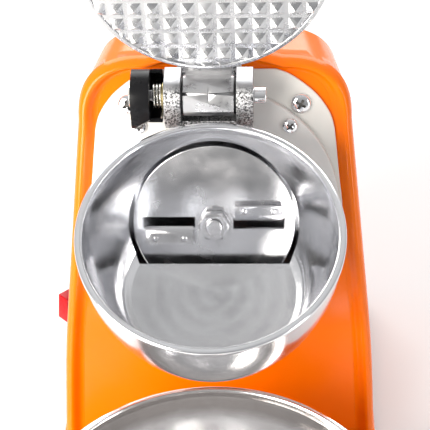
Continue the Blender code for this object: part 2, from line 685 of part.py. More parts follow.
def motor():
    """A bracket on the front panel and, behind it, rings along the axle."""
    on_shaft, winding_bore, winding = SHAFT_RADIUS + GAP, MOTOR_BORE + 1 * MM, MOTOR_RADIUS - 3 * MM
    race, race_seat = 10.9 * MM, 11.2 * MM
    square = rounded_rectangle(46 * MM, -46 * MM, 46 * MM, 8 * MM, 3)
    cut(slab("motor_bracket", square, -9.6 * MM, -5.6 * MM, STEEL, AXLE), bore(13 * MM, AXLE))
    ring("end_bell_front", race_seat, MOTOR_RADIUS, -17 * MM, -9.9 * MM, CAST)
    ring("bearing_front", on_shaft, race, -16.5 * MM, -10 * MM, STEEL, 24)
    ring("winding_front", winding_bore, winding, -24.7 * MM, -17.3 * MM, COPPER)
    ring("stator_core", MOTOR_BORE, MOTOR_RADIUS, -54 * MM, -25 * MM, IRON)
    ring("winding_rear", winding_bore, winding, -61.7 * MM, -54.3 * MM, COPPER)
    ring("rotor_core", on_shaft, MOTOR_BORE - 1 * MM, -56 * MM, -23 * MM, IRON)
    ring("end_bell_rear", race_seat, MOTOR_RADIUS, -67.7 * MM, -62 * MM, CAST)
    ring("bearing_rear", on_shaft, race, -67.7 * MM, -62 * MM, STEEL, 24)
    fan = ring("cooling_fan", on_shaft, 12 * MM, -75 * MM, -68.4 * MM, NATURAL)
    web = [(10 * MM, -70 * MM), (32 * MM, -70 * MM), (32 * MM, -71.5 * MM), (10 * MM, -71.5 * MM)]
    join(fan, turned("fan_web", web, None, AXLE, 28))
    for i in range(8):
        frame = AXLE @ Matrix.Rotation(math.radians(45 * i), 4, "Z")
        join(fan, block("vane", (11 * MM, -0.8 * MM, -75 * MM), (31 * MM, 0.8 * MM, -70.5 * MM), None, frame))


# ---------------------------------------------------------------- switches and electrics
def rocker_switch():
    """A framed rocker on the wall, rocking about the frame's Y. Its front half stands out in a peak."""
    half, wide = ROCKER_HALF
    rim, window = (half + 3.5 * MM, wide + 3.2 * MM), (half + GAP, wide + GAP)
    frame = rounded_rectangle(rim[0], -rim[1], rim[1], 3 * MM, 3)
    bezel = slab("rocker_bezel", frame, GAP, 2.3 * MM, BLACK, SWITCH)
    cut(bezel, block("window", (-window[0], -window[1], -10 * MM), (*window, 10 * MM), None, SWITCH))
    low = (-half - 0.8 * MM, -wide - 0.8 * MM, -24 * MM)
    block("switch_body", low, (half + 0.8 * MM, wide + 0.8 * MM, -8.5 * MM), BLACK, SWITCH)
    front = [(12.7 * MM, -2.5 * MM), (12.7 * MM, 2.6 * MM), (6.8 * MM, 10.05 * MM), (0, 3 * MM)]
    outline = front + arc((0, 0), half, 167, 191, 3)
    across = SWITCH @ Matrix.Rotation(math.radians(90), 4, "X")
    return smooth(slab("rocker", outline, -wide, wide, RED, across, 0.5 * MM))


def microswitch():
    low = (PLUNGER_ACROSS - 10 * MM, 47 * MM, -22 * MM)
    block("microswitch", low, (PLUNGER_ACROSS + 10 * MM, 63.5 * MM, -12 * MM), BLACK, FACE)
    low = (PLUNGER_ACROSS - 2 * MM, PLUNGER_UP - 2 * MM, -8 * MM)
    block("switch_plunger", low, (PLUNGER_ACROSS + 2 * MM, PLUNGER_UP + 2 * MM, 4.8 * MM), RED, FACE)


def electrics():
    block("terminal_block", (-30 * MM, 135 * MM, 24 * MM), (30 * MM, 152 * MM, 38 * MM), NATURAL)
    profile = [(3.6 * MM, 206 * MM), (6 * MM, 206 * MM), (9 * MM, 199 * MM), (9 * MM, 195 * MM)]
    profile += [(6 * MM, 195 * MM), (6 * MM, 182 * MM), (3.6 * MM, 182 * MM)]
    smooth(turned("cord_gland", profile, BLACK, CORD, 20))


# ---------------------------------------------------------------- bowl
def bowl_wall(inset):
    """(radius, height above the base) up the bowl's outside."""
    wall = [(50, 0), (58, 1.5), (70, 8), (84, 20), (96, 36), (104, 52), (108.3, 66), (109.5, 70.5)]
    last = len(wall) - 1
    return [(r * MM - inset, h * MM + inset * (1 - i / last)) for i, (r, h) in enumerate(wall)]


def receiving_bowl():
    thick = 1.2 * MM
    roll = arc((110.4 * MM, 70.7 * MM), 2.6 * MM, -100, 180, 6)
    outline = [(0, 0)] + bowl_wall(0)[:-1] + roll + list(reversed(bowl_wall(thick)[:-1])) + [(0, thick)]
    return smooth(turned("receiving_bowl", list(reversed(outline)), STEEL, BOWL, 44), 50)


# ---------------------------------------------------------------- moving bodies
def pivot(name, place, *carried):
    """An empty on a joint's axis, with Z along it, that carries the pieces of one moving body."""
    made = bpy.data.objects.new(name, None)
    made.matrix_world = CENTRE @ place
    bpy.context.scene.collection.objects.link(made)
    for child in carried:
        piece = parts.objects[child]
        piece.parent = made
        piece.matrix_parent_inverse = made.matrix_world.inverted()


def pivots():
    lid = ["lid_plate", "lid_arm", "handle_rod", "handle_grip", "hinge_pin", "pin_clip", "safety_cam"]
    rotor = ["blade_disc", "blade_1", "blade_2", "disc_nut", "drive_shaft", "rotor_core", "cooling_fan"]
    plunger = FACE @ Matrix.Translation((PLUNGER_ACROSS, PLUNGER_UP, 0))
    pivot("lid_pivot", PIN, *lid)
    pivot("rotor_pivot", AXLE, *rotor)
    pivot("rocker_pivot", SWITCH @ Matrix.Rotation(math.radians(-90), 4, "X"), "rocker")
    pivot("plunger_slide", plunger, "switch_plunger")
    pivot("bowl_slide", BOWL, "receiving_bowl")


housing_shell()
front_panel()
base_platform()
feet()
face_plate()
screws()
hopper_flange()
hopper()
outlet_chute()
hinge_bracket()
hinge_pin()
pin_clip()
safety_cam()
torsion_spring()
lid_plate()
lid_arm()
handle()
blade_disc()
blades()
shaft_pieces()
motor()
rocker_switch()
microswitch()
electrics()
receiving_bowl()

for made in parts.objects:
    made.matrix_world = CENTRE @ made.matrix_world
pivots()
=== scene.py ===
"""Looks of the shaved ice machine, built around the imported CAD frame. Metres, +Z up, front towards -Y."""
import json
import math

import bmesh
import bpy
from mathutils import Matrix, Vector


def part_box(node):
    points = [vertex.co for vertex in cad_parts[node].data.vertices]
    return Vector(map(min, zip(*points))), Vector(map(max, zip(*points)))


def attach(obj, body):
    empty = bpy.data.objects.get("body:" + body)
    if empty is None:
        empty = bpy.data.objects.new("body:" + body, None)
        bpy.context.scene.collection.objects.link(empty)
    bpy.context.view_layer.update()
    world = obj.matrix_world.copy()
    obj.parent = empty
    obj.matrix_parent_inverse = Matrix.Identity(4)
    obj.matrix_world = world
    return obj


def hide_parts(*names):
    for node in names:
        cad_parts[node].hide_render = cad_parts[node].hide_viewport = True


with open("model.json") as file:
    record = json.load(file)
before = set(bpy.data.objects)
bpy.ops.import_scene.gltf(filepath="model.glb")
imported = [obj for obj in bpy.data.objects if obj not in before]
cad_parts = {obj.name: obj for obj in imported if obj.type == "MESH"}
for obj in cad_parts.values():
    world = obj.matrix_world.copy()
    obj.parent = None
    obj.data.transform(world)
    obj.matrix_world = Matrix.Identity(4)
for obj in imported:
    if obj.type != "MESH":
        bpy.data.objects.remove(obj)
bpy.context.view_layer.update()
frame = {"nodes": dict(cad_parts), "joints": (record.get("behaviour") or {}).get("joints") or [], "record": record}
NODES = frame["nodes"]
JOINTS = {joint["name"]: joint for joint in frame["joints"]}

MM = 0.001
LEAN = math.radians(19)  # how far the front face leans back
RIM_TILT = math.radians(17)  # how far the hopper's mouth tips towards the user


# ---------------------------------------------------------------- places, from the frame
def frame_from(origin, x_axis, z_axis):
    """A matrix whose X and Z axes point as given."""
    z_axis = Vector(z_axis).normalized()
    y_axis = z_axis.cross(Vector(x_axis)).normalized()
    x_axis = y_axis.cross(z_axis)
    return Matrix.Translation(origin) @ Matrix((x_axis, y_axis, z_axis)).transposed().to_4x4()


def shift(x=0.0, y=0.0, z=0.0):
    return Matrix.Translation((x, y, z))


def turn(degrees, axis):
    return Matrix.Rotation(math.radians(degrees), 4, axis)


AXLE = frame_from(JOINTS["rotor_spin"]["pos_m"], (1, 0, 0), JOINTS["rotor_spin"]["axis"])
FACE = AXLE @ shift(y=20 * MM)
HINGE = Matrix.Translation(JOINTS["lid_hinge"]["pos_m"])
PIN = HINGE @ turn(90, "Y")
LID = HINGE @ turn(90, "X")
LID_CENTRE = LID @ shift(y=96.6 * MM)
HANDLE = LID @ shift(z=-9 * MM) @ turn(-90, "X")

BOWL_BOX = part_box("receiving_bowl")
BOWL = shift((BOWL_BOX[0].x + BOWL_BOX[1].x) / 2, (BOWL_BOX[0].y + BOWL_BOX[1].y) / 2, BOWL_BOX[0].z)
BASE_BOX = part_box("base_platform")
SHELL_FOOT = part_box("housing_shell")[0].z
REAR_FOOT_Y = BASE_BOX[1].y
REAR_TOP_Y = REAR_FOOT_Y - 27 * MM
CENTRE_Y = (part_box("foot_front_left")[0].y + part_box("foot_front_left")[1].y) / 2 + 165 * MM
RIM = shift(y=CENTRE_Y, z=228 * MM) @ Matrix.Rotation(RIM_TILT, 4, "X")
GLAND = shift(y=CENTRE_Y, z=40 * MM) @ turn(-90, "X")


# ---------------------------------------------------------------- mesh tools
def new_object(name, bm, place=None):
    bmesh.ops.recalc_face_normals(bm, faces=bm.faces)
    mesh = bpy.data.meshes.new(name)
    bm.to_mesh(mesh)
    bm.free()
    made = bpy.data.objects.new(name, mesh)
    bpy.context.scene.collection.objects.link(made)
    made.matrix_world = place if place is not None else Matrix()
    return made


def baked(made):
    """The object with its modifiers applied."""
    graph = bpy.context.evaluated_depsgraph_get()
    graph.update()
    mesh = bpy.data.meshes.new_from_object(made.evaluated_get(graph))
    made.modifiers.clear()
    made.data = mesh
    return made


def smooth(made, degrees=35):
    made.data.shade_smooth()
    made.data.set_sharp_from_angle(angle=math.radians(degrees))
    return made


def combined(made, operation, *others):
    for other in others:
        step = made.modifiers.new(operation.lower(), "BOOLEAN")
        step.operation = operation
        step.solver = "EXACT"
        step.object = other
        baked(made)
        bpy.data.objects.remove(other)
    return made


def cut(made, *others):
    return combined(made, "DIFFERENCE", *others)


def join(made, *others):
    return combined(made, "UNION", *others)


def in_mm(rows):
    """Rows of numbers in millimetres, as metres."""
    return [tuple(value * MM for value in row) for row in rows]


def edge_rounded(made, width, segments=3, degrees=40):
    rounding = made.modifiers.new("edges", "BEVEL")
    rounding.width = width
    rounding.segments = segments
    rounding.limit_method = "ANGLE"
    rounding.angle_limit = math.radians(degrees)
    rounding.harden_normals = False
    return baked(made)


def rounded_corners(corners, closed=True, steps=5):
    """A polyline whose corners, given as (x, y, reach), are rounded off by that reach along each side."""
    points = []
    count = len(corners)
    for i, (x, y, reach) in enumerate(corners):
        here = Vector((x, y))
        if not reach or (not closed and i in (0, count - 1)):
            points.append(here)
            continue
        before = Vector(corners[i - 1][:2]) - here
        after = Vector(corners[(i + 1) % count][:2]) - here
        start = here + before.normalized() * min(reach, 0.49 * before.length)
        end = here + after.normalized() * min(reach, 0.49 * after.length)
        for k in range(steps + 1):
            t = k / steps
            points.append((1 - t) ** 2 * start + 2 * t * (1 - t) * here + t * t * end)
    return [(p.x, p.y) for p in points]


def flowing(points, per_span=4, closed=False):
    """A smooth curve through the given (x, y) points."""
    count = len(points)
    spans = count if closed else count - 1

    def at(i):
        if closed:
            return Vector(points[i % count])
        return Vector(points[max(0, min(count - 1, i))])

    result = []
    for i in range(spans):
        p0, p1, p2, p3 = at(i - 1), at(i), at(i + 1), at(i + 2)
        for k in range(per_span):
            t = k / per_span
            result.append(
                0.5 * (2 * p1 + (p2 - p0) * t + (2 * p0 - 5 * p1 + 4 * p2 - p3) * t**2
                       + (3 * p1 - p0 - 3 * p2 + p3) * t**3)
            )
    if not closed:
        result.append(Vector(points[-1]))
    return [(p.x, p.y) for p in result]


def arc(centre, radius, start, end, count):
    angles = [math.radians(start + (end - start) * i / (count - 1)) for i in range(count)]
    return [(centre[0] + radius * math.cos(a), centre[1] + radius * math.sin(a)) for a in angles]


def lathe(name, profile, place=None, steps=96, closed=None):
    """(radius, height) points turned about the place's Z. Points on the axis become poles."""
    bm = bmesh.new()
    closed = all(radius > 1e-6 for radius, _ in profile) if closed is None else closed
    rings = []
    for radius, height in profile:
        if radius <= 1e-6:
            rings.append([bm.verts.new((0, 0, height))])
            continue
        ring = []
        for i in range(steps):
            angle = 2 * math.pi * i / steps
            ring.append(bm.verts.new((radius * math.cos(angle), radius * math.sin(angle), height)))
        rings.append(ring)
    pairs = list(zip(rings, rings[1:]))
    if closed:
        pairs.append((rings[-1], rings[0]))
    for first, second in pairs:
        for i in range(steps):
            j = (i + 1) % steps
            corners = [first[i % len(first)], first[j % len(first)]]
            corners += [second[j % len(second)], second[i % len(second)]]
            unique = list(dict.fromkeys(corners))
            if len(unique) > 2:
                bm.faces.new(unique)
    return new_object(name, bm, place)


def slab(name, outline, low, high, place=None):
    """A flat outline in the place's XY, from low to high along its Z."""
    bm = bmesh.new()
    bottom = [bm.verts.new((x, y, low)) for x, y in outline]
    top = [bm.verts.new((x, y, high)) for x, y in outline]
    bm.faces.new(bottom)
    bm.faces.new(top)
    for i in range(len(outline)):
        j = (i + 1) % len(outline)
        bm.faces.new((bottom[i], bottom[j], top[j], top[i]))
    return new_object(name, bm, place)


def block(name, low, high, place=None):
    outline = [(low[0], low[1]), (high[0], low[1]), (high[0], high[1]), (low[0], high[1])]
    return slab(name, outline, low[2], high[2], place)


def rod(name, radius, low, high, place=None, sides=64):
    return lathe(name, [(0, low), (radius, low), (radius, high), (0, high)], place, sides)


def tube_along(name, points, radius, place=None, sides=10):
    """A round wire along a list of points, with its ends closed."""
    curve = bpy.data.curves.new(name, "CURVE")
    curve.dimensions = "3D"
    curve.bevel_depth = radius
    curve.bevel_resolution = sides // 2 - 2
    curve.use_fill_caps = True
    spline = curve.splines.new("POLY")
    spline.points.add(len(points) - 1)
    for point, where in zip(spline.points, points):
        point.co = (*where, 1)
    drawn = bpy.data.objects.new(name + "_path", curve)
    bpy.context.scene.collection.objects.link(drawn)
    graph = bpy.context.evaluated_depsgraph_get()
    graph.update()
    mesh = bpy.data.meshes.new_from_object(drawn.evaluated_get(graph))
    bpy.data.objects.remove(drawn)
    bm = bmesh.new()
    bm.from_mesh(mesh)
    bmesh.ops.remove_doubles(bm, verts=bm.verts, dist=1e-7)
    return new_object(name, bm, place)


def copied(name, node, width, segments=3, degrees=40):
    """A CAD node's shape as a new piece, with its flat facets merged and its edges rounded."""
    bm = bmesh.new()
    bm.from_mesh(NODES[node].data)
    bmesh.ops.remove_doubles(bm, verts=bm.verts, dist=1e-6)
    bmesh.ops.dissolve_limit(bm, angle_limit=math.radians(1), verts=bm.verts, edges=bm.edges)
    made = new_object(name, bm)
    if width:
        edge_rounded(made, width, segments, degrees)
    return smooth(made, 30)


# ---------------------------------------------------------------- materials
SURFACES = {}


class Surface:
    """A node material built up step by step around one Principled BSDF."""

    def __init__(self, name, colour, roughness, metallic=0.0, **sockets):
        self.material = bpy.data.materials.new(name)
        SURFACES[name] = self.material
        self.material.use_nodes = True
        self.tree = self.material.node_tree
        self.shader = self.tree.nodes["Principled BSDF"]
        self.shader.inputs["Base Color"].default_value = (*colour, 1)
        self.shader.inputs["Roughness"].default_value = roughness
        self.shader.inputs["Metallic"].default_value = metallic
        for socket, value in sockets.items():
            self.shader.inputs[socket.replace("_", " ")].default_value = value
        self.place = self.add("ShaderNodeTexCoord").outputs["Object"]
        self.normal = None

    def add(self, kind, **settings):
        made = self.tree.nodes.new(kind)
        for name, value in settings.items():
            setattr(made, name, value)
        return made

    def link(self, source, target):
        self.tree.links.new(source, target)

    def stretched(self, scale):
        mapping = self.add("ShaderNodeMapping")
        mapping.inputs["Scale"].default_value = scale
        self.link(self.place, mapping.inputs["Vector"])
        return mapping.outputs["Vector"]

    def noise(self, scale, detail=4.0, stretch=None, roughness=0.5):
        made = self.add("ShaderNodeTexNoise")
        made.inputs["Scale"].default_value = scale
        made.inputs["Detail"].default_value = detail
        made.inputs["Roughness"].default_value = roughness
        self.link(self.stretched(stretch) if stretch else self.place, made.inputs["Vector"])
        return made.outputs["Fac"]

    def rings(self, scale, distortion=0.0):
        """Fine concentric turning marks about the object's own Z."""
        made = self.add("ShaderNodeTexWave", wave_type="RINGS", rings_direction="Z", wave_profile="SIN")
        made.inputs["Scale"].default_value = scale
        made.inputs["Distortion"].default_value = distortion
        made.inputs["Detail"].default_value = 3
        made.inputs["Detail Scale"].default_value = 1.5
        self.link(self.place, made.inputs["Vector"])
        return made.outputs["Fac"]

    def cells(self, scale):
        made = self.add("ShaderNodeTexVoronoi", feature="F1")
        made.inputs["Scale"].default_value = scale
        self.link(self.place, made.inputs["Vector"])
        return made.outputs["Distance"]

    def ranged(self, value, low, high, from_low=0.3, from_high=0.7):
        made = self.add("ShaderNodeMapRange")
        made.inputs["From Min"].default_value = from_low
        made.inputs["From Max"].default_value = from_high
        made.inputs["To Min"].default_value = low
        made.inputs["To Max"].default_value = high
        self.link(value, made.inputs["Value"])
        return made.outputs["Result"]

    def mixed(self, share, first, second):
        made = self.add("ShaderNodeMix", data_type="RGBA")
        self.link(share, made.inputs["Factor"])
        for socket, colour in ((6, first), (7, second)):
            if isinstance(colour, tuple):
                made.inputs[socket].default_value = (*colour, 1)
            else:
                self.link(colour, made.inputs[socket])
        return made.outputs[2]

    def edges(self, low=0.53, high=0.6):
        """1 on convex edges and 0 elsewhere."""
        geometry = self.add("ShaderNodeNewGeometry")
        return self.ranged(geometry.outputs["Pointiness"], 0, 1, low, high)

    def coloured(self, output):
        self.link(output, self.shader.inputs["Base Color"])
        return self

    def roughened(self, output):
        self.link(output, self.shader.inputs["Roughness"])
        return self

    def bumped(self, height, strength, distance):
        made = self.add("ShaderNodeBump")
        made.inputs["Strength"].default_value = strength
        made.inputs["Distance"].default_value = distance
        self.link(height, made.inputs["Height"])
        if self.normal:
            self.link(self.normal, made.inputs["Normal"])
        self.normal = made.outputs["Normal"]
        self.link(self.normal, self.shader.inputs["Normal"])
        return self

    def brushed_round(self, amount):
        """Highlights stretched across turning marks that run round the object's Z."""
        self.shader.inputs["Anisotropic"].default_value = amount
        tangent = self.add("ShaderNodeTangent", direction_type="RADIAL", axis="Z")
        self.link(tangent.outputs["Tangent"], self.shader.inputs["Tangent"])
        return self


def orange_abs():
    """Glossy moulded ABS with a faint orange-peel ripple and slight clouding."""
    made = Surface("orange_abs", (0.93, 0.165, 0.0005), 0.14, Specular_IOR_Level=0.3)
    made.coloured(made.mixed(made.ranged(made.noise(9), 0, 1), (0.94, 0.16, 0.0004), (0.92, 0.172, 0.0006)))
    made.roughened(made.ranged(made.noise(60, 6), 0.13, 0.2))
    made.bumped(made.noise(260, 2), 0.04, 0.0004)
    return made.material


def powder_coat(name, light, dark):
    """Satin powder coat with a fine leathery grain and faint clouding."""
    made = Surface(name, light, 0.42, IOR=1.48)
    made.coloured(made.mixed(made.ranged(made.noise(14), 0, 1), light, dark))
    made.roughened(made.ranged(made.noise(90, 5), 0.36, 0.5))
    made.bumped(made.noise(900, 3), 0.12, 0.0002)
    return made.material


def polished_casting(name, colour, roughness=0.14):
    """Polished aluminium casting: faint clouding, turning marks and a slightly uneven skin."""
    made = Surface(name, colour, roughness, 1.0)
    dull = tuple(0.88 * c for c in colour)
    made.coloured(made.mixed(made.ranged(made.noise(18, 6), 0, 1), colour, dull))
    made.roughened(made.ranged(made.noise(35, 8), roughness * 0.75, roughness * 1.6))
    made.bumped(made.rings(420, 1.2), 0.03, 0.0002)
    made.bumped(made.rings(30, 1.5), 0.03, 0.0008)
    made.bumped(made.noise(140, 5), 0.03, 0.0004)
    return made.material


def frosted_casting(name, light, dark, roughness=0.26, worn_highlit_edges=True):
    """Die-cast aluminium, slightly frosted, with paler edges that are partly rubbed wear and partly a painted
    highlight.
    """
    made = Surface(name, light, roughness, 1.0)
    base = made.mixed(made.ranged(made.noise(45, 7), 0, 1), light, dark)
    if worn_highlit_edges:
        # Pale convex edges: rubbed wear plus a painted edge highlight.
        base = made.mixed(made.edges(0.52, 0.6), base, (0.88, 0.88, 0.88))
    made.coloured(base)
    made.roughened(made.ranged(made.noise(120, 6), 0.6 * roughness, 1.4 * roughness))
    made.bumped(made.noise(420, 4), 0.12, 0.0003)
    return made.material


def sand_cast():
    """Sand-cast aluminium: a coarse granular skin, fettled smoother above the hinge pin."""
    made = Surface("sand_cast_aluminium", (0.5, 0.5, 0.51), 0.42, 1.0)
    grain = made.noise(800, 6, roughness=0.75)
    rough = made.mixed(made.ranged(grain, 0, 1, 0.43, 0.56), (0.02, 0.02, 0.022), (0.75, 0.75, 0.76))
    height = made.add("ShaderNodeSeparateXYZ")
    made.link(made.place, height.inputs["Vector"])
    level = HINGE.translation.z
    fettled = made.ranged(height.outputs["Z"], 0, 1, level + 8 * MM, level + 11 * MM)
    smoother = made.mixed(made.noise(90), (0.42, 0.42, 0.43), (0.28, 0.28, 0.29))
    made.coloured(made.mixed(fettled, rough, smoother))
    made.roughened(made.ranged(made.noise(260, 5), 0.34, 0.56))
    depth = made.add("ShaderNodeMath", operation="MULTIPLY_ADD")
    made.link(fettled, depth.inputs[0])
    depth.inputs[1].default_value = -0.75
    depth.inputs[2].default_value = 0.85
    made.bumped(grain, 0.8, 0.0007)
    made.link(depth.outputs[0], made.tree.nodes["Bump"].inputs["Strength"])
    made.bumped(made.cells(340), 0.2, 0.0003)
    return made.material


def machined_steel(name, colour, roughness, ring_scale=700, amount=0.55, reflection_band_colour=None):
    """Steel with fine turning marks and, if given a colour, broad concentric bands of painted reflection."""
    made = Surface(name, colour, roughness, 1.0)
    dull = tuple(0.86 * c for c in colour)
    base = made.mixed(made.ranged(made.noise(25, 6), 0, 1), colour, dull)
    if reflection_band_colour:
        # Broad concentric colour bands: painted reflection, not a property of the steel.
        bands = made.ranged(made.rings(31, 0.5), 0, 0.8, 0.3, 0.95)
        base = made.mixed(bands, base, reflection_band_colour)
    made.coloured(base)
    made.roughened(made.ranged(made.noise(60, 7), roughness * 0.8, roughness * 1.5))
    made.bumped(made.rings(ring_scale, 0.6), 0.05, 0.0001)
    if amount:
        made.brushed_round(amount)
    return made.material


def chrome():
    made = Surface("chrome", (0.86, 0.86, 0.87), 0.07, 1.0)
    made.coloured(made.mixed(made.ranged(made.noise(90, 4), 0, 1), (0.88, 0.88, 0.89), (0.78, 0.78, 0.8)))
    made.roughened(made.ranged(made.noise(160, 6), 0.05, 0.16))
    made.bumped(made.noise(500, 3), 0.03, 0.0001)
    return made.material


def spring_wire():
    made = Surface("spring_steel", (0.75, 0.74, 0.7), 0.2, 1.0)
    made.coloured(made.mixed(made.ranged(made.noise(150, 5), 0, 1), (0.8, 0.79, 0.74), (0.62, 0.6, 0.55)))
    made.roughened(made.ranged(made.noise(300, 5), 0.14, 0.3))
    made.bumped(made.noise(700, 2), 0.05, 0.0001)
    return made.material


def moulded_plastic(name, light, dark, roughness, grain=0.12, shine=0.5, worn_highlit_edges=True):
    """Moulded plastic with a fine spark-eroded grain, paler along its edges, partly rubbed wear and partly a
    painted highlight.
    """
    made = Surface(name, light, roughness, IOR=1.5, Specular_IOR_Level=shine)
    base = made.mixed(made.ranged(made.noise(40, 4), 0, 1), light, dark)
    if worn_highlit_edges:
        # Pale convex edges: rubbed wear plus a painted edge highlight.
        base = made.mixed(made.edges(0.54, 0.64), base, tuple(min(1.0, 1.5 * c + 0.01) for c in light))
    made.coloured(base)
    made.roughened(made.ranged(made.noise(160, 6), roughness * 0.8, roughness * 1.25))
    made.bumped(made.noise(1400, 3), grain, 0.0002)
    return made.material


def laminated_iron():
    made = Surface("motor_iron", (0.2, 0.2, 0.21), 0.5, 0.9)
    layers = made.add("ShaderNodeTexWave", wave_type="BANDS", bands_direction="Z")
    layers.inputs["Scale"].default_value = 320
    made.link(made.place, layers.inputs["Vector"])
    made.coloured(made.mixed(layers.outputs["Fac"], (0.12, 0.12, 0.13), (0.3, 0.3, 0.31)))
    made.roughened(made.ranged(made.noise(80, 5), 0.4, 0.65))
    made.bumped(layers.outputs["Fac"], 0.5, 0.0003)
    return made.material


def copper_wire():
    made = Surface("copper_winding", (0.62, 0.26, 0.1), 0.3, 0.95)
    strands = made.add("ShaderNodeTexWave", wave_type="RINGS", rings_direction="Z")
    strands.inputs["Scale"].default_value = 380
    strands.inputs["Distortion"].default_value = 4
    made.link(made.place, strands.inputs["Vector"])
    made.coloured(made.mixed(strands.outputs["Fac"], (0.4, 0.14, 0.05), (0.72, 0.33, 0.14)))
    made.roughened(made.ranged(made.noise(200, 4), 0.22, 0.42))
    made.bumped(strands.outputs["Fac"], 0.7, 0.0005)
    return made.material


# SURFACES keeps each one by its name, mostly that of a material slot. Some are also used directly.
orange_abs()
powder_coat("face_plate", (0.7, 0.685, 0.65), (0.66, 0.645, 0.61))
powder_coat("hopper_flange", (0.66, 0.64, 0.62), (0.62, 0.6, 0.58))
moulded_plastic("chute_plastic", (0.7, 0.68, 0.63), (0.66, 0.64, 0.6), 0.38, 0.08)
polished_casting("cast_aluminium", (0.86, 0.865, 0.89))
frosted_casting("lid_casting", (0.6, 0.605, 0.62), (0.5, 0.505, 0.52))
ARM_CAST = frosted_casting("arm_casting", (0.68, 0.68, 0.69), (0.5, 0.5, 0.51), 0.34, False)
sand_cast()
CHROME = chrome()
spring_wire()
# The bowl's steel, with its painted reflection bands.
machined_steel("polished_stainless", (0.9, 0.89, 0.89), 0.12, 900, 0.5, (0.46, 0.42, 0.4))
machined_steel("turned_steel", (0.74, 0.74, 0.76), 0.2, 700, 0.6)
# Dark steel used only to paint shade into the screws' cross recesses.
RECESS_SHADE = machined_steel("recess_shade_steel", (0.24, 0.23, 0.22), 0.5, 700, 0)
laminated_iron()
copper_wire()
BRASS = machined_steel("brass_washer", (0.72, 0.6, 0.3), 0.25, 700, 0)
moulded_plastic("natural_plastic", (0.76, 0.74, 0.68), (0.7, 0.68, 0.62), 0.4, 0.08)
BLACK = moulded_plastic("black_plastic", (0.009, 0.009, 0.01), (0.006, 0.006, 0.007), 0.3, 0.12, 0.15, False)
moulded_plastic("red_plastic", (0.4, 0.003, 0.006), (0.33, 0.002, 0.004), 0.16, 0.02, 0.15, False)
moulded_plastic("black_rubber", (0.02, 0.02, 0.02), (0.012, 0.012, 0.012), 0.75, 0.3)

SLOT_OF = {
    entry["node"]: entry["material_slot"] for entry in frame["record"]["subparts"]
}
BODY_OF = {
    node: body for body, members in frame["record"]["behaviour"]["bodies"].items() for node in members
}
REPLACED = set()


def dressed(made, node, surface=None):
    """The piece takes the node's place, body, slot and surface."""
    REPLACED.add(node)
    made.data.materials.clear()
    made.data.materials.append(surface or SURFACES[SLOT_OF[node]])
    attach(made, BODY_OF[node])
    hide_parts(node)
    return made


# ---------------------------------------------------------------- housing
SHOULDER = 229 * MM
KNEE = 77 * MM
CROWN_TOP = 275 * MM
TOP_SHARE = 0.65  # the border is narrower over the arch
REAR_DRAW_IN = 0.125
REAR_DROP = 6 * MM
FALSE_FOOT = SHELL_FOOT - 25 * MM  # the shell is built down to here, then cut off level at its foot
PANEL_FRONT = -2.3
PANEL_BACK = -5.3
COVE = 12.8
FACE_ORIGIN = FACE.translation


def half_width(height):
    """Half of the front's width at a height, with a soft bend at the knee."""
    foot_half, knee_half, shoulder_half = 107 * MM, 103.5 * MM, 87.2 * MM
    lower = (knee_half - foot_half) / KNEE
    upper = (shoulder_half - knee_half) / (SHOULDER - KNEE)
    soft = 22 * MM
    share = min(1, max(0, (height - KNEE + soft) / (2 * soft)))
    bend = (upper - lower) * soft * share * share
    beyond = (upper - lower) * max(0, height - KNEE - soft)
    return foot_half + lower * height + bend + beyond


def drawn_in(height, share):
    """What is left of the width at a height and a share of the way back."""
    return 1 - REAR_DRAW_IN * share * height / CROWN_TOP


def arch(inset, back=0.0, top_inset=None):
    """The housing's outline as (x, z), moved in by inset and, towards the rear, drawn in."""
    top_inset = inset if top_inset is None else top_inset
    bottom = FALSE_FOOT
    corner_x, corner_z = 44 * MM, 39.5 * MM
    crown = CROWN_TOP - SHOULDER - corner_z
    heights = [bottom + inset + (SHOULDER - bottom - inset) * i / 20 for i in range(21)]
    right = [(half_width(z) - inset, z) for z in heights]
    flat = half_width(SHOULDER) - corner_x
    for i in range(1, 20):
        angle = math.radians(90 * i / 20)
        across = (corner_x - inset) * math.cos(angle) ** 0.8
        right.append((flat + across, SHOULDER + (corner_z - top_inset) * math.sin(angle) ** 0.8))
    top = SHOULDER + corner_z - top_inset
    right += [(flat * share, top + crown * (1 - share * share)) for share in (1, 0.8, 0.6, 0.4, 0.2)]
    outline = right + [(0, top + crown)] + [(-x, z) for x, z in reversed(right)]
    lower = REAR_DROP * back / (CROWN_TOP - SHELL_FOOT)
    return [(x * drawn_in(z, back), z - lower * max(0, z - SHELL_FOOT)) for x, z in outline]


def face_y(height):
    return FACE_ORIGIN.y + (height - FACE_ORIGIN.z) * math.tan(LEAN)


def rear_y(height):
    share = (height - SHELL_FOOT) / (CROWN_TOP - SHELL_FOOT)
    return REAR_FOOT_Y + (REAR_TOP_Y - REAR_FOOT_Y) * share


def housing_ring(bm, share, push, inset, top_inset=None):
    ring = []
    for x, z in arch(inset, share, top_inset):
        front = face_y(z)
        y = front + (rear_y(z) - front) * share - push
        ring.append(bm.verts.new((x, y, z)))
    return ring


def wall_frame(y, z):
    """On the -X wall: Z out of the wall, X towards the front, Y up."""

    def wall_point(at_y, at_z):
        front = face_y(at_z)
        share = (at_y - front) / (rear_y(at_z) - front)
        return Vector((-half_width(at_z) * drawn_in(at_z, share), at_y, at_z))

    here = wall_point(y, z)
    forward = (wall_point(y - 5 * MM, z) - here).normalized()
    up = (wall_point(y, z + 5 * MM) - here).normalized()
    out = forward.cross(up).normalized()
    return frame_from(here, forward, out)


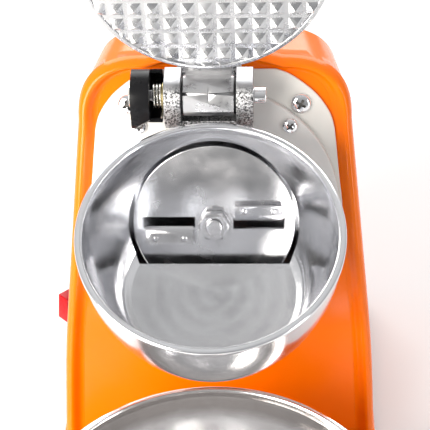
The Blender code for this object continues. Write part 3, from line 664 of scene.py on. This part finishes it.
SWITCH = wall_frame(*JOINTS["rocker_tilt"]["pos_m"][1:])
ROCKER_HALF = (13 * MM, 10.7 * MM)
VENTS = 6
VENT_SPACING = 14
VENT_REACH = 42.5 * MM  # from the middle to the centre of a vent's round end
VENT_RADIUS = 2.5 * MM
PLUNGER_OFFSET = -41.5 * MM  # the microswitch plunger's place beside the lid's hinge
SHAFT_HOLE = 14 * MM


def housing():
    """One shell: a rolled front border that sweeps softly down to the panel, walls and a rounded back."""
    border = [
        (10.0, -9.0), (10.0, PANEL_BACK), (COVE, PANEL_BACK), (COVE, PANEL_FRONT),
        (11.9, -2.22), (11.0, -2.0), (10.1, -1.6), (9.2, -1.0), (8.3, -0.2), (7.4, 0.7), (6.5, 1.5),
        (5.6, 2.1), (4.7, 2.45), (3.8, 2.45), (2.9, 2.1), (2.0, 1.4), (1.2, 0.4), (0.6, -0.9),
        (0.2, -2.5), (0.0, -4.6),
    ]
    bm = bmesh.new()
    rings = []
    for inset, rise in border:
        rings.append(housing_ring(bm, 0, rise * MM / math.cos(LEAN), inset * MM, inset * MM * TOP_SHARE))
    for share in (0.12, 0.3, 0.5, 0.7, 0.85):
        rings.append(housing_ring(bm, share, 0, 0))
    back_radius = 14 * MM
    for i in range(9):
        angle = math.radians(90 * i / 8)
        inset = back_radius * (1 - math.cos(angle))
        rings.append(housing_ring(bm, 1, back_radius * (1 - math.sin(angle)), inset))
    outer_back = rings[-1]
    inner = [(1, 7, 15), (1, 16, 4), (0.5, 0, 3), (0.06, 0, 3), (0, -11, 4)]
    inner_rings = [housing_ring(bm, share, push * MM, inset * MM) for share, push, inset in inner]
    for chain in (rings, inner_rings + [rings[0]]):
        for near, far in zip(chain, chain[1:]):
            for i in range(len(near)):
                j = (i + 1) % len(near)
                bm.faces.new((near[i], near[j], far[j], far[i]))
    bm.faces.new(outer_back)
    bm.faces.new(inner_rings[0])
    shell = new_object("housing_shell_fine", bm)
    cut(shell, block("below", (-0.2, -0.1, -0.1), (0.2, 0.3, SHELL_FOOT)))
    upright = Matrix.Translation((0, CENTRE_Y + 210 * MM, 0)) @ turn(90, "X")
    for i in range(VENTS):
        middle = (70 + VENT_SPACING * i) * MM + VENT_RADIUS
        outline = arc((VENT_REACH, middle), VENT_RADIUS, -90, 90, 7)
        outline += arc((-VENT_REACH, middle), VENT_RADIUS, 90, 270, 7)
        cut(shell, slab("vent", outline, 0, 60 * MM, upright))
    clearance = 1.2 * MM
    along, across = ROCKER_HALF[0] + clearance, ROCKER_HALF[1] + clearance
    cut(shell, block("switch_hole", (-along, -across, -8 * MM), (along, across, 8 * MM), SWITCH))
    cut(shell, rod("cord_hole", 6.3 * MM, 160 * MM, 215 * MM, GLAND, 32))
    return dressed(smooth(shell, 32), "housing_shell")


def plunger_hole():
    across = JOINTS["lid_hinge"]["pos_m"][0] + PLUNGER_OFFSET
    return block("hole", (across - 2.5 * MM, 57 * MM, -9 * MM), (across + 2.5 * MM, 62 * MM, 9 * MM), FACE)


def front_panel():
    """The flat face inside the border's sweep, reaching down to the base."""
    inset = (COVE + 0.04) * MM
    bm = bmesh.new()
    rings = []
    for level in (PANEL_FRONT, PANEL_BACK):
        rings.append(housing_ring(bm, 0, level * MM / math.cos(LEAN), inset, inset * TOP_SHARE))
    for i in range(len(rings[0])):
        j = (i + 1) % len(rings[0])
        bm.faces.new((rings[0][i], rings[0][j], rings[1][j], rings[1][i]))
    bm.faces.new(rings[0])
    bm.faces.new(rings[1])
    panel = new_object("front_panel_fine", bm)
    cut(panel, block("below", (-0.2, -0.1, -0.1), (0.2, 0.3, SHELL_FOOT)))
    cut(panel, plunger_hole(), rod("shaft_hole", SHAFT_HOLE, -9 * MM, 9 * MM, AXLE, 48))
    return dressed(smooth(panel, 35), "front_panel")


def base_platform():
    """A moulded tray with softly rounded edges and a shallow seat for the bowl."""
    low, high = BASE_BOX
    half = (high.x - low.x) / 2
    corners = [(-half, low.y), (half, low.y), (half, high.y), (-half, high.y)]
    outline = rounded_corners([(x, y, 30 * MM) for x, y in corners], True, 14)
    tray = slab("base_platform_fine", outline, low.z, high.z)
    edge_rounded(tray, 2.2 * MM, 5, 60)
    above = high.z - BOWL.translation.z + 5 * MM
    groove = [(51 * MM, above), (59 * MM, above), (57.5 * MM, -1.2 * MM), (52.5 * MM, -1.2 * MM)]
    cut(tray, lathe("seat", groove, BOWL, 96))
    return dressed(smooth(tray, 35), "base_platform")


def feet():
    for node in ("foot_front_left", "foot_front_right", "foot_rear_left", "foot_rear_right"):
        low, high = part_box(node)
        place = shift((low.x + high.x) / 2, (low.y + high.y) / 2, low.z)
        profile = [(0, 0.6, 0), (4, 0.6, 0.3), (4.6, 0, 0.3), (6.4, 0, 0.3), (7, 0.6, 0.3), (8.6, 0.6, 0.3)]
        profile += [(9.2, 0, 0.3), (13, 0, 0.8), (14, 1.5, 0.6), (12.2, 7.9, 0.6), (0, 7.9, 0)]
        foot = lathe(node + "_fine", rounded_corners(in_mm(profile), False, 3), place, 48)
        dressed(smooth(foot, 40), node)


# ---------------------------------------------------------------- face plate, flange and screws
PLATE_SCREWS = [(54.6 * MM, 48 * MM), (66 * MM, -82 * MM)]
PLATE_SCREW_SIZE = (6.6 * MM, 3.4 * MM, 6.6 * MM, 2 * MM)  # head radius and height, reach, shank radius
FLANGE_SCREW_SIZE = (5 * MM, 3 * MM, 3.6 * MM, 1.6 * MM)
FLANGE_SCREW_CIRCLE = 72.8 * MM
FLANGE_FRONT = 5.3 * MM
FLANGE_RADIUS = 79.5 * MM


def face_plate():
    """Flat-topped plate with sloping shoulders and softly rounded edges."""
    right = [(82, -25), (79.5, 0), (77, 24), (75.6, 34), (72.4, 43), (65, 53.5), (56, 61.5)]
    right += [(47, 67.5), (39, 70.5)]
    foot = [(30, -106), (50, -104), (66, -97), (75, -86), (80, -60)]
    half = in_mm(foot + right)
    outline = flowing(half, 4) + [(-x, v) for x, v in reversed(flowing(half, 4))]
    plate = slab("face_plate_fine", outline, -2 * MM, 0, FACE)
    edge_rounded(plate, 0.7 * MM, 3, 50)
    cut(plate, plunger_hole(), rod("shaft_hole", SHAFT_HOLE - MM, -9 * MM, 9 * MM, AXLE, 48))
    return dressed(smooth(plate, 40), "face_plate")


def hopper_flange():
    inner, back = 9 * MM, 0.3 * MM
    profile = [(inner, FLANGE_FRONT, 0), (FLANGE_RADIUS, FLANGE_FRONT, 1.4 * MM)]
    profile += [(FLANGE_RADIUS, back, 0), (inner, back, 0)]
    flange = lathe("hopper_flange_fine", rounded_corners(profile, True, 5), AXLE, 160)
    return dressed(smooth(flange, 40), "hopper_flange")


HEAD_EDGE = 0.3 * MM  # height of a screw head's rim


def cross_screw(name, size, place, spin):
    """A domed head with a cross recess, over its threaded shank."""
    head, height, reach, shank = size
    dome = [(0, height)]
    for i in range(1, 9):
        angle = math.radians(90 * i / 8)
        level = HEAD_EDGE + (height - HEAD_EDGE) * math.cos(angle) ** 0.8
        dome.append((head * math.sin(angle) ** 0.9, level))
    thread = []
    pitch = 1.1 * MM
    turns = int(reach / pitch)
    for i in range(turns):
        for width, drop in ((0.8, 0.1), (1, 0.5), (0.8, 0.9)):
            thread.append((shank * width, -(i + drop) * pitch))
    profile = dome + [(shank, HEAD_EDGE)] + thread + [(0, -turns * pitch)]
    screw = lathe(name, profile, place, 40)
    depth = height * 0.7
    wide, narrow = head * 0.52, head * 0.13
    for quarter in (0, 90):
        outline = [(-wide, -narrow), (wide, -narrow), (wide, narrow), (-wide, narrow)]
        turned = place @ turn(quarter + spin, "Z")
        cut(screw, slab("cross", outline, height - depth, height + 2 * MM, turned))
    well = [(0, height + MM), (head * 0.28, height + MM), (0, height - depth * 1.3)]
    cut(screw, lathe("well", well, place, 16))
    return smooth(screw, 38)


def paint_recess_shade(screw, size):
    """The faces sunk below the dome, inside the cross, take a dark steel as painted shade."""
    head, height = size[:2]
    screw.data.materials.append(RECESS_SHADE)
    for face in screw.data.polygons:
        radius = math.hypot(face.center.x, face.center.y)
        if radius < 0.66 * head and 0 < face.center.z:
            sine = (radius / head) ** (1 / 0.9)
            dome = HEAD_EDGE + (height - HEAD_EDGE) * (1 - sine**2) ** 0.4
            if face.center.z < dome - 0.15 * MM:
                # Faces below the dome inside the cross get the painted shade material.
                face.material_index = 1


def screws():
    for x, v in PLATE_SCREWS:
        for side in (-1, 1):
            node = f"plate_screw_{'upper' if v > 0 else 'lower'}_{'left' if side < 0 else 'right'}"
            place = FACE @ shift(side * x, v)
            spin = 28 + 19 * side + 300 * v
            screw = cross_screw(node + "_fine", PLATE_SCREW_SIZE, place, spin)
            paint_recess_shade(dressed(screw, node), PLATE_SCREW_SIZE)
    angle = math.radians(49)
    across, up = FLANGE_SCREW_CIRCLE * math.cos(angle), FLANGE_SCREW_CIRCLE * math.sin(angle)
    for x in (across, -across):
        for v in (up, -up):
            node = f"flange_screw_{'upper' if v > 0 else 'lower'}_{'left' if x < 0 else 'right'}"
            place = AXLE @ shift(x, v, FLANGE_FRONT)
            spin = 15 + 400 * x + 250 * v
            screw = cross_screw(node + "_fine", FLANGE_SCREW_SIZE, place, spin)
            paint_recess_shade(dressed(screw, node), FLANGE_SCREW_SIZE)


# ---------------------------------------------------------------- hopper
HOPPER_WALL = 4 * MM
HOPPER_DEPTH = 75 * MM
DRUM_RADIUS = 57.5 * MM
DRUM_BACK = 5.6 * MM
CHAMBER_BACK = 8.5 * MM
BLADE_PLANE = 30 * MM
FAR = 150 * MM  # beyond everything, for cutters
CUP_WALL = [  # radius and depth below the rim
    (79, 5.5), (78.6, 11), (77.4, 22), (75, 35), (71.4, 48), (66.8, 60), (62.8, 69), (59.5, 73.2), (55, 75),
]


def cup_curve(inset):
    """(radius, height) down the cup's outside, moved in by inset."""
    points = []
    for radius, depth in CUP_WALL:
        lift = inset * min(1, max(0, (depth - 60) / 15))
        points.append((radius * MM - inset, -depth * MM + lift))
    return flowing(points, 5)


def hopper():
    """The cast cup with its rolled lip, run into the short drum that holds the blade disc."""
    lip = [(75, -6, 0), (75, 0, 1.9), (79.7, 0, 2.3), (79.7, -4.2, 0.9), (79.05, -5.0, 0.4)]
    lip = rounded_corners(in_mm(lip), False, 6)
    outside = [(0, -8 * MM)] + lip + cup_curve(0) + [(0, -HOPPER_DEPTH)]
    cup = lathe("hopper_fine", outside, RIM, 192)
    join(cup, rod("drum", DRUM_RADIUS, DRUM_BACK, 44 * MM, AXLE, 128))
    above = rod("above", 120 * MM, 0.05 * MM, 60 * MM, RIM, 24)
    cut(cup, above, block("behind", (-FAR, -FAR, -60 * MM), (FAR, FAR, DRUM_BACK), AXLE))
    mouth = [(0, 12 * MM), (75 * MM, 12 * MM), (75 * MM, -5 * MM)]
    inside = mouth + cup_curve(HOPPER_WALL) + [(0, -HOPPER_DEPTH + HOPPER_WALL)]
    room = lathe("room", inside, RIM, 192)
    cut(room, block("behind", (-FAR, -FAR, -60 * MM), (FAR, FAR, BLADE_PLANE), AXLE))
    chamber = rod("chamber", DRUM_RADIUS - HOPPER_WALL, CHAMBER_BACK, 40 * MM, AXLE, 128)
    bore = rod("bore", 7 * MM, 0, 12 * MM, AXLE, 48)
    slot = block("slot", (-17 * MM, -70 * MM, 10 * MM), (17 * MM, -30 * MM, 27 * MM), AXLE)
    cut(cup, room, chamber, bore, slot)
    return dressed(smooth(cup, 34), "hopper")


def outlet_chute():
    return dressed(copied("outlet_chute_fine", "outlet_chute", 0.5 * MM, 2), "outlet_chute")


# ---------------------------------------------------------------- hinge
def hinge_bracket():
    return dressed(copied("hinge_bracket_fine", "hinge_bracket", 0.9 * MM, 3, 35), "hinge_bracket")


def hinge_pin():
    profile = [(0, 35.4, 0), (5.2, 35.4, 1.2), (5.2, 27.7, 0.4), (4.2, 27.7, 0), (4.2, -49, 0.8), (0, -49, 0)]
    pin = lathe("hinge_pin_fine", rounded_corners(in_mm(profile), False, 4), PIN, 48)
    return dressed(smooth(pin, 40), "hinge_pin")


def pin_clip():
    ring = [(4.5, 0.5, 0.2), (7, 0.5, 0.2), (7, -0.5, 0.2), (4.5, -0.5, 0.2)]
    clip = lathe("pin_clip_fine", rounded_corners(in_mm(ring), True, 3), PIN @ shift(z=-48.4 * MM), 40)
    return dressed(smooth(clip, 40), "pin_clip")


def safety_cam():
    return dressed(copied("safety_cam_fine", "safety_cam", 0.7 * MM, 3, 35), "safety_cam")


def thrust_washers():
    """Black washers between the barrel and the ears, and a brass one beside the spring."""
    rows = [("washer_left", -16.8, -15.6, 11.5, BLACK), ("washer_right", 15.6, 16.8, 11.5, BLACK)]
    rows.append(("washer_spring", -28.5, -27.8, 8.2, BRASS))
    for name, low, high, radius, surface in rows:
        ring = [(4.6, low, 0), (radius, low, 0.3), (radius, high, 0.3), (4.6, high, 0)]
        ring = rounded_corners(in_mm(ring), True, 3)
        washer = smooth(lathe(name, ring, PIN, 64), 40)
        washer.data.materials.append(surface)
        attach(washer, "machine_body")


def torsion_spring():
    """Three turns of wire beside the cam, with a straight tail at each end."""
    radius, turns, per_turn = 7 * MM, 3, 40
    start, end = -34.8 * MM, -28.8 * MM
    count = turns * per_turn + 1
    points = [(radius, 10.6 * MM, -35 * MM)]
    for i in range(count):
        angle = 2 * math.pi * i / per_turn
        z = start + (end - start) * i / (count - 1)
        points.append((radius * math.cos(angle), radius * math.sin(angle), z))
    points.append((radius, -13 * MM, -28.6 * MM))
    spring = tube_along("torsion_spring_fine", points, 0.75 * MM, PIN, 12)
    return dressed(smooth(spring, 60), "torsion_spring")


# ---------------------------------------------------------------- lid
PITCH = 10.5 * MM
PYRAMID_BASE = 7.9 * MM
PYRAMID_FOOT = 3.5 * MM
PYRAMID_TIP = 7.4 * MM


def pyramid_field(radius):
    """Rows of pyramids with flat grooves between them, trimmed to a circle."""
    bm = bmesh.new()
    reach = int(radius / PITCH) + 1
    groove, base = PITCH / 2, PYRAMID_BASE / 2
    steps = [-groove, -base, base, groove]
    for column in range(-reach, reach + 1):
        for row in range(-reach, reach + 1):
            cx, cy = column * PITCH, row * PITCH
            grid = [[bm.verts.new((cx + dx, cy + dy, PYRAMID_FOOT)) for dx in steps] for dy in steps]
            for j in range(3):
                for i in range(3):
                    if (i, j) != (1, 1):
                        bm.faces.new((grid[j][i], grid[j][i + 1], grid[j + 1][i + 1], grid[j + 1][i]))
            tip = bm.verts.new((cx, cy, PYRAMID_TIP))
            around = [grid[1][1], grid[1][2], grid[2][2], grid[2][1]]
            for i in range(4):
                bm.faces.new((around[i], around[(i + 1) % 4], tip))
    bmesh.ops.remove_doubles(bm, verts=bm.verts, dist=1e-6)
    rim = [edge for edge in bm.edges if edge.is_boundary]
    walls = bmesh.ops.extrude_edge_only(bm, edges=rim)["geom"]
    lowered = [v for v in walls if isinstance(v, bmesh.types.BMVert)]
    for vertex in lowered:
        vertex.co.z = 0.5 * MM
    bottom = [edge for edge in bm.edges if edge.is_boundary]
    bmesh.ops.contextual_create(bm, geom=bottom)
    field = new_object("field", bm, LID_CENTRE)
    trim = rod("trim", radius, -5 * MM, 12 * MM, LID_CENTRE, 160)
    return combined(field, "INTERSECT", trim)


def lid_plate():
    rim = [(0, 3.0, 0), (71.2, 3.0, 0), (71.6, 3.9, 0.4), (74.5, 3.9, 1.2), (74.5, -0.6, 0.9)]
    rim += [(72.8, -1.4, 0.6), (0, -1.4, 0)]
    profile = rounded_corners(in_mm(rim), False, 4)
    plate = lathe("lid_plate_fine", profile, LID_CENTRE, 192)
    join(plate, pyramid_field(71 * MM))
    edge_rounded(plate, 0.22 * MM, 2, 22)
    return dressed(smooth(plate, 28), "lid_plate")


def lid_arm():
    """The CAD arm with two flats on its barrel, a tapering slit between them from each end, and a seam."""
    arm = copied("lid_arm_fine", "lid_arm", 0)
    flat = 11 * MM
    for lift in (9, 71):
        side = HINGE @ turn(90 - lift, "X")
        cut(arm, block("flat", (-16 * MM, -8 * MM, flat), (16 * MM, 8 * MM, 16 * MM), side))
    crease = HINGE @ turn(90 - 40, "X")
    for side in (-1, 1):
        wedge = [(17 * side, -1.3), (17 * side, 1.3), (0.8 * side, 0.3), (0.8 * side, -0.3)]
        cut(arm, slab("slit", in_mm(wedge), 6.5 * MM, 14 * MM, crease))
    cut(arm, block("seam", (-0.25 * MM, -10.5 * MM, 9.6 * MM), (0.25 * MM, 10.5 * MM, 14 * MM), crease))
    edge_rounded(arm, 0.25 * MM, 2, 35)
    return dressed(smooth(arm, 30), "lid_arm", ARM_CAST)


def handle():
    stem = rod("handle_rod_fine", 5 * MM, 160 * MM, 283 * MM, HANDLE, 48)
    dressed(smooth(stem, 40), "handle_rod", CHROME)
    ribs = []
    for i in range(9):
        low = 206 + 7 * i
        ribs += in_mm([(12.1, low), (11.4, low + 0.8), (11.4, low + 1.8), (12.1, low + 2.6)])
    start = [(5.4, 196, 0), (10.6, 196, 1.0), (12.6, 199, 1.5), (12.1, 203, 0.5)]
    start = rounded_corners(in_mm(start), False, 4)
    end = [(12.1, 270, 0), (13, 281, 2.5), (11, 287, 3), (0.5, 288.5, 0), (0.5, 283.5, 0), (5.4, 283.5, 0)]
    end = rounded_corners(in_mm(end), False, 5)
    grip = lathe("handle_grip_fine", start + ribs + end, HANDLE, 64, True)
    dressed(smooth(grip, 40), "handle_grip")


# ---------------------------------------------------------------- blades and shaft
def blade_disc():
    profile = [(5.4, 33, 0), (50.9, 33, 0.5), (50.9, 30.4, 0.4), (5.4, 30.4, 0)]
    profile = rounded_corners(in_mm(profile), True, 3)
    disc = lathe("blade_disc_fine", profile, AXLE, 144)
    low, high = in_mm([(12, -4, 20), (44, 3, 40)])
    for spin in (0, 180):
        cut(disc, block("slot", low, high, AXLE @ turn(spin, "Z")))
    return dressed(smooth(disc, 35), "blade_disc")


def blades():
    """Each blade is a bevelled strip held down by two small round-headed screws."""
    for index, spin in enumerate((0, 180)):
        node = f"blade_{index + 1}"
        lean = AXLE @ turn(spin, "Z") @ shift(y=0.6 * MM, z=33.4 * MM) @ turn(12, "X")
        side = [(1, 0.62), (3.4, 2.2), (13, 2.2), (13, 0.6)]
        across = lean @ Matrix(((0, 0, 1, 0), (1, 0, 0, 0), (0, 1, 0, 0), (0, 0, 0, 1)))
        blade = slab(node + "_fine", in_mm(side), 13 * MM, 43 * MM, across)
        edge_rounded(blade, 0.2 * MM, 2, 50)
        for x in (19 * MM, 37 * MM):
            place = lean @ shift(x, 8.8 * MM)
            hole = in_mm([(0, 5), (2.1, 5), (2.1, 1.2), (0, 1.2)])
            cut(blade, lathe("hole", hole, place, 24))
            head = in_mm([(0, 2.6), (1.2, 2.5), (1.9, 2.0), (1.9, 1.1), (0, 1.1)])
            join(blade, lathe("head", head, place, 24))
        dressed(smooth(blade, 35), node)


def shaft_pieces():
    profile = [(0, 42, 0), (5, 42, 0.9), (5, -76, 0.5), (0, -76, 0)]
    profile = rounded_corners(in_mm(profile), False, 4)
    dressed(smooth(lathe("drive_shaft_fine", profile, AXLE, 48), 40), "drive_shaft")
    nut = slab("disc_nut_fine", arc((0, 0), 10 * MM, 0, 300, 6), 33.3 * MM, 40 * MM, AXLE)
    chamfer = in_mm([(0, 30), (9.9, 30), (9.9, 38.9), (8.6, 40.2), (0, 40.2)])
    combined(nut, "INTERSECT", lathe("chamfer", chamfer, AXLE, 64))
    cut(nut, rod("bore", 5.3 * MM, 20 * MM, 60 * MM, AXLE, 40))
    dressed(smooth(edge_rounded(nut, 0.25 * MM, 2, 35), 35), "disc_nut")


# ---------------------------------------------------------------- switches
def rocker_switch():
    half, wide = ROCKER_HALF
    rim = (half + 3.5 * MM, wide + 3.2 * MM)
    corners = [(-rim[0], -rim[1]), (rim[0], -rim[1]), rim, (-rim[0], rim[1])]
    outline = rounded_corners([(x, y, 3 * MM) for x, y in corners], True, 6)
    bezel = slab("rocker_bezel_fine", outline, 0.3 * MM, 2.3 * MM, SWITCH)
    opening = (half + 0.3 * MM, wide + 0.3 * MM, 10 * MM)
    cut(bezel, block("window", tuple(-value for value in opening), opening, SWITCH))
    dressed(smooth(edge_rounded(bezel, 0.6 * MM, 3, 50), 35), "rocker_bezel")
    front = [(12.7, -2.5, 0), (12.7, 2.6, 0.8), (6.8, 10.05, 0.9), (0, 3, 3)]
    outline = rounded_corners(in_mm(front), False, 5) + [(0, 3 * MM)] + arc((0, 0), half, 167, 191, 8)
    key = slab("rocker_fine", outline, -wide, wide, SWITCH @ turn(90, "X"))
    dressed(smooth(edge_rounded(key, 0.5 * MM, 3, 35), 30), "rocker")


# ---------------------------------------------------------------- bowl and gland
BOWL_WALL = [(50, 0), (58, 1.5), (70, 8), (84, 20), (96, 36), (104, 52), (107.6, 63), (109.2, 68.4)]


def bowl():
    """Spun bowl: a dished wall, a shoulder bead and an open rolled rim."""
    thick = 1.2 * MM
    outside = in_mm(BOWL_WALL)
    inside = []
    for i, (r, z) in enumerate(BOWL_WALL):
        inside.append((r * MM - thick * min(1, 0.35 + 0.15 * i), z * MM + thick * (1 - i / 7)))
    roll = arc((110.3 * MM, 70.6 * MM), 2.6 * MM, -100, 165, 18)
    outside_curve = [(0, 0)] + flowing(outside, 6)
    inside_curve = list(reversed(flowing(inside, 6))) + [(0, thick)]
    made = lathe("receiving_bowl_fine", outside_curve[:-1] + roll + inside_curve[1:], BOWL, 192)
    return dressed(smooth(made, 45), "receiving_bowl")


def cord_gland():
    profile = [(3.6, 206, 0.3), (5.4, 206, 0.8)]
    for i in range(4):
        high = 205 - 1.7 * i
        width = 5.6 + 0.75 * i
        profile += [(width, high - 0.4, 0.2), (width + 0.5, high - 1.5, 0.2)]
    profile += [(9, 198.2, 0.5), (9, 195, 0.5), (6, 195, 0), (6, 182, 0.4), (3.6, 182, 0.2)]
    gland = lathe("cord_gland_fine", rounded_corners(in_mm(profile), True, 3), GLAND, 48)
    return dressed(smooth(gland, 40), "cord_gland")


def hidden_works():
    """The pieces inside the housing keep their CAD shape and get their own surfaces."""
    for node in sorted(set(NODES) - REPLACED):
        NODES[node].data.materials.clear()
        NODES[node].data.materials.append(SURFACES[SLOT_OF[node]])
        NODES[node].data.shade_smooth()
        NODES[node].data.set_sharp_from_angle(angle=math.radians(35))


housing()
front_panel()
base_platform()
feet()
face_plate()
hopper_flange()
screws()
hopper()
outlet_chute()
hinge_bracket()
hinge_pin()
pin_clip()
safety_cam()
thrust_washers()
torsion_spring()
lid_plate()
lid_arm()
handle()
blade_disc()
blades()
shaft_pieces()
rocker_switch()
bowl()
cord_gland()
hidden_works()


# ---------------------------------------------------------------- studio
def studio_floor():
    bm = bmesh.new()
    bmesh.ops.create_grid(bm, x_segments=1, y_segments=1, size=6)
    floor = new_object("studio_floor", bm)
    pale = Surface("studio_floor", (0.68, 0.68, 0.68), 0.6)
    pale.roughened(pale.ranged(pale.noise(3), 0.55, 0.7))
    floor.data.materials.append(pale.material)


def soft_light(name, place, aim, size, power, colour=(1, 1, 1)):
    data = bpy.data.lights.new(name, "AREA")
    data.shape = "RECTANGLE"
    data.size, data.size_y = size
    data.energy = power
    data.color = colour
    lamp = bpy.data.objects.new(name, data)
    bpy.context.scene.collection.objects.link(lamp)
    lamp.location = place
    lamp.rotation_euler = (Vector(aim) - Vector(place)).to_track_quat("-Z", "Y").to_euler()


def surroundings():
    """A pale studio, brighter behind and overhead than towards the camera."""
    world = bpy.data.worlds.new("studio")
    world.use_nodes = True
    tree = world.node_tree
    background = tree.nodes["Background"]
    coordinates = tree.nodes.new("ShaderNodeTexCoord")
    parts = tree.nodes.new("ShaderNodeSeparateXYZ")
    tree.links.new(coordinates.outputs["Generated"], parts.inputs["Vector"])
    level = None
    for axis, share in (("Y", 0.2), ("Z", 0.3)):
        step = tree.nodes.new("ShaderNodeMath")
        step.operation = "MULTIPLY_ADD"
        step.inputs[1].default_value = share
        step.inputs[2].default_value = 0.5
        tree.links.new(parts.outputs[axis], step.inputs[0])
        if level:
            tree.links.new(level, step.inputs[2])
        level = step.outputs[0]
    tree.links.new(level, background.inputs["Color"])
    background.inputs["Strength"].default_value = 0.9
    bpy.context.scene.world = world


def camera():
    """The photograph's viewpoint: from the front, 40 degrees up, a little to the right."""
    azimuth, elevation, roll = math.radians(2.66), math.radians(40.41), math.radians(-1.84)
    distance, lens = 0.880, 126.4
    aside, above = 2.9 * MM, 9.95 * MM  # how far from the rim's centre it aims
    forward = Vector((-math.sin(azimuth) * math.cos(elevation), math.cos(azimuth) * math.cos(elevation),
                      -math.sin(elevation)))
    level = Vector((math.cos(azimuth), math.sin(azimuth), 0))
    upright = level.cross(forward)
    right = level * math.cos(roll) + upright * math.sin(roll)
    up = upright * math.cos(roll) - level * math.sin(roll)
    data = bpy.data.cameras.new("view")
    data.lens = lens
    data.sensor_width = 36
    made = bpy.data.objects.new("view", data)
    bpy.context.scene.collection.objects.link(made)
    aim = RIM.translation + right * aside + up * above
    turned = Matrix((right, up, -forward)).transposed().to_4x4()
    made.matrix_world = Matrix.Translation(aim - forward * distance) @ turned
    bpy.context.scene.camera = made


studio_floor()
surroundings()
soft_light("left_softbox", (-0.66, -0.62, 0.5), (0, 0, 0.2), (0.7, 0.8), 22, (1, 0.96, 0.9))
soft_light("right_strip", (1.1, -0.75, 0.4), (0, 0, 0.2), (0.2, 0.8), 4)
soft_light("back_softbox", (0, 1.9, 1.35), (0, 0.05, 0.25), (3.0, 1.5), 64)
camera()
bpy.context.scene.view_settings.view_transform = "Standard"
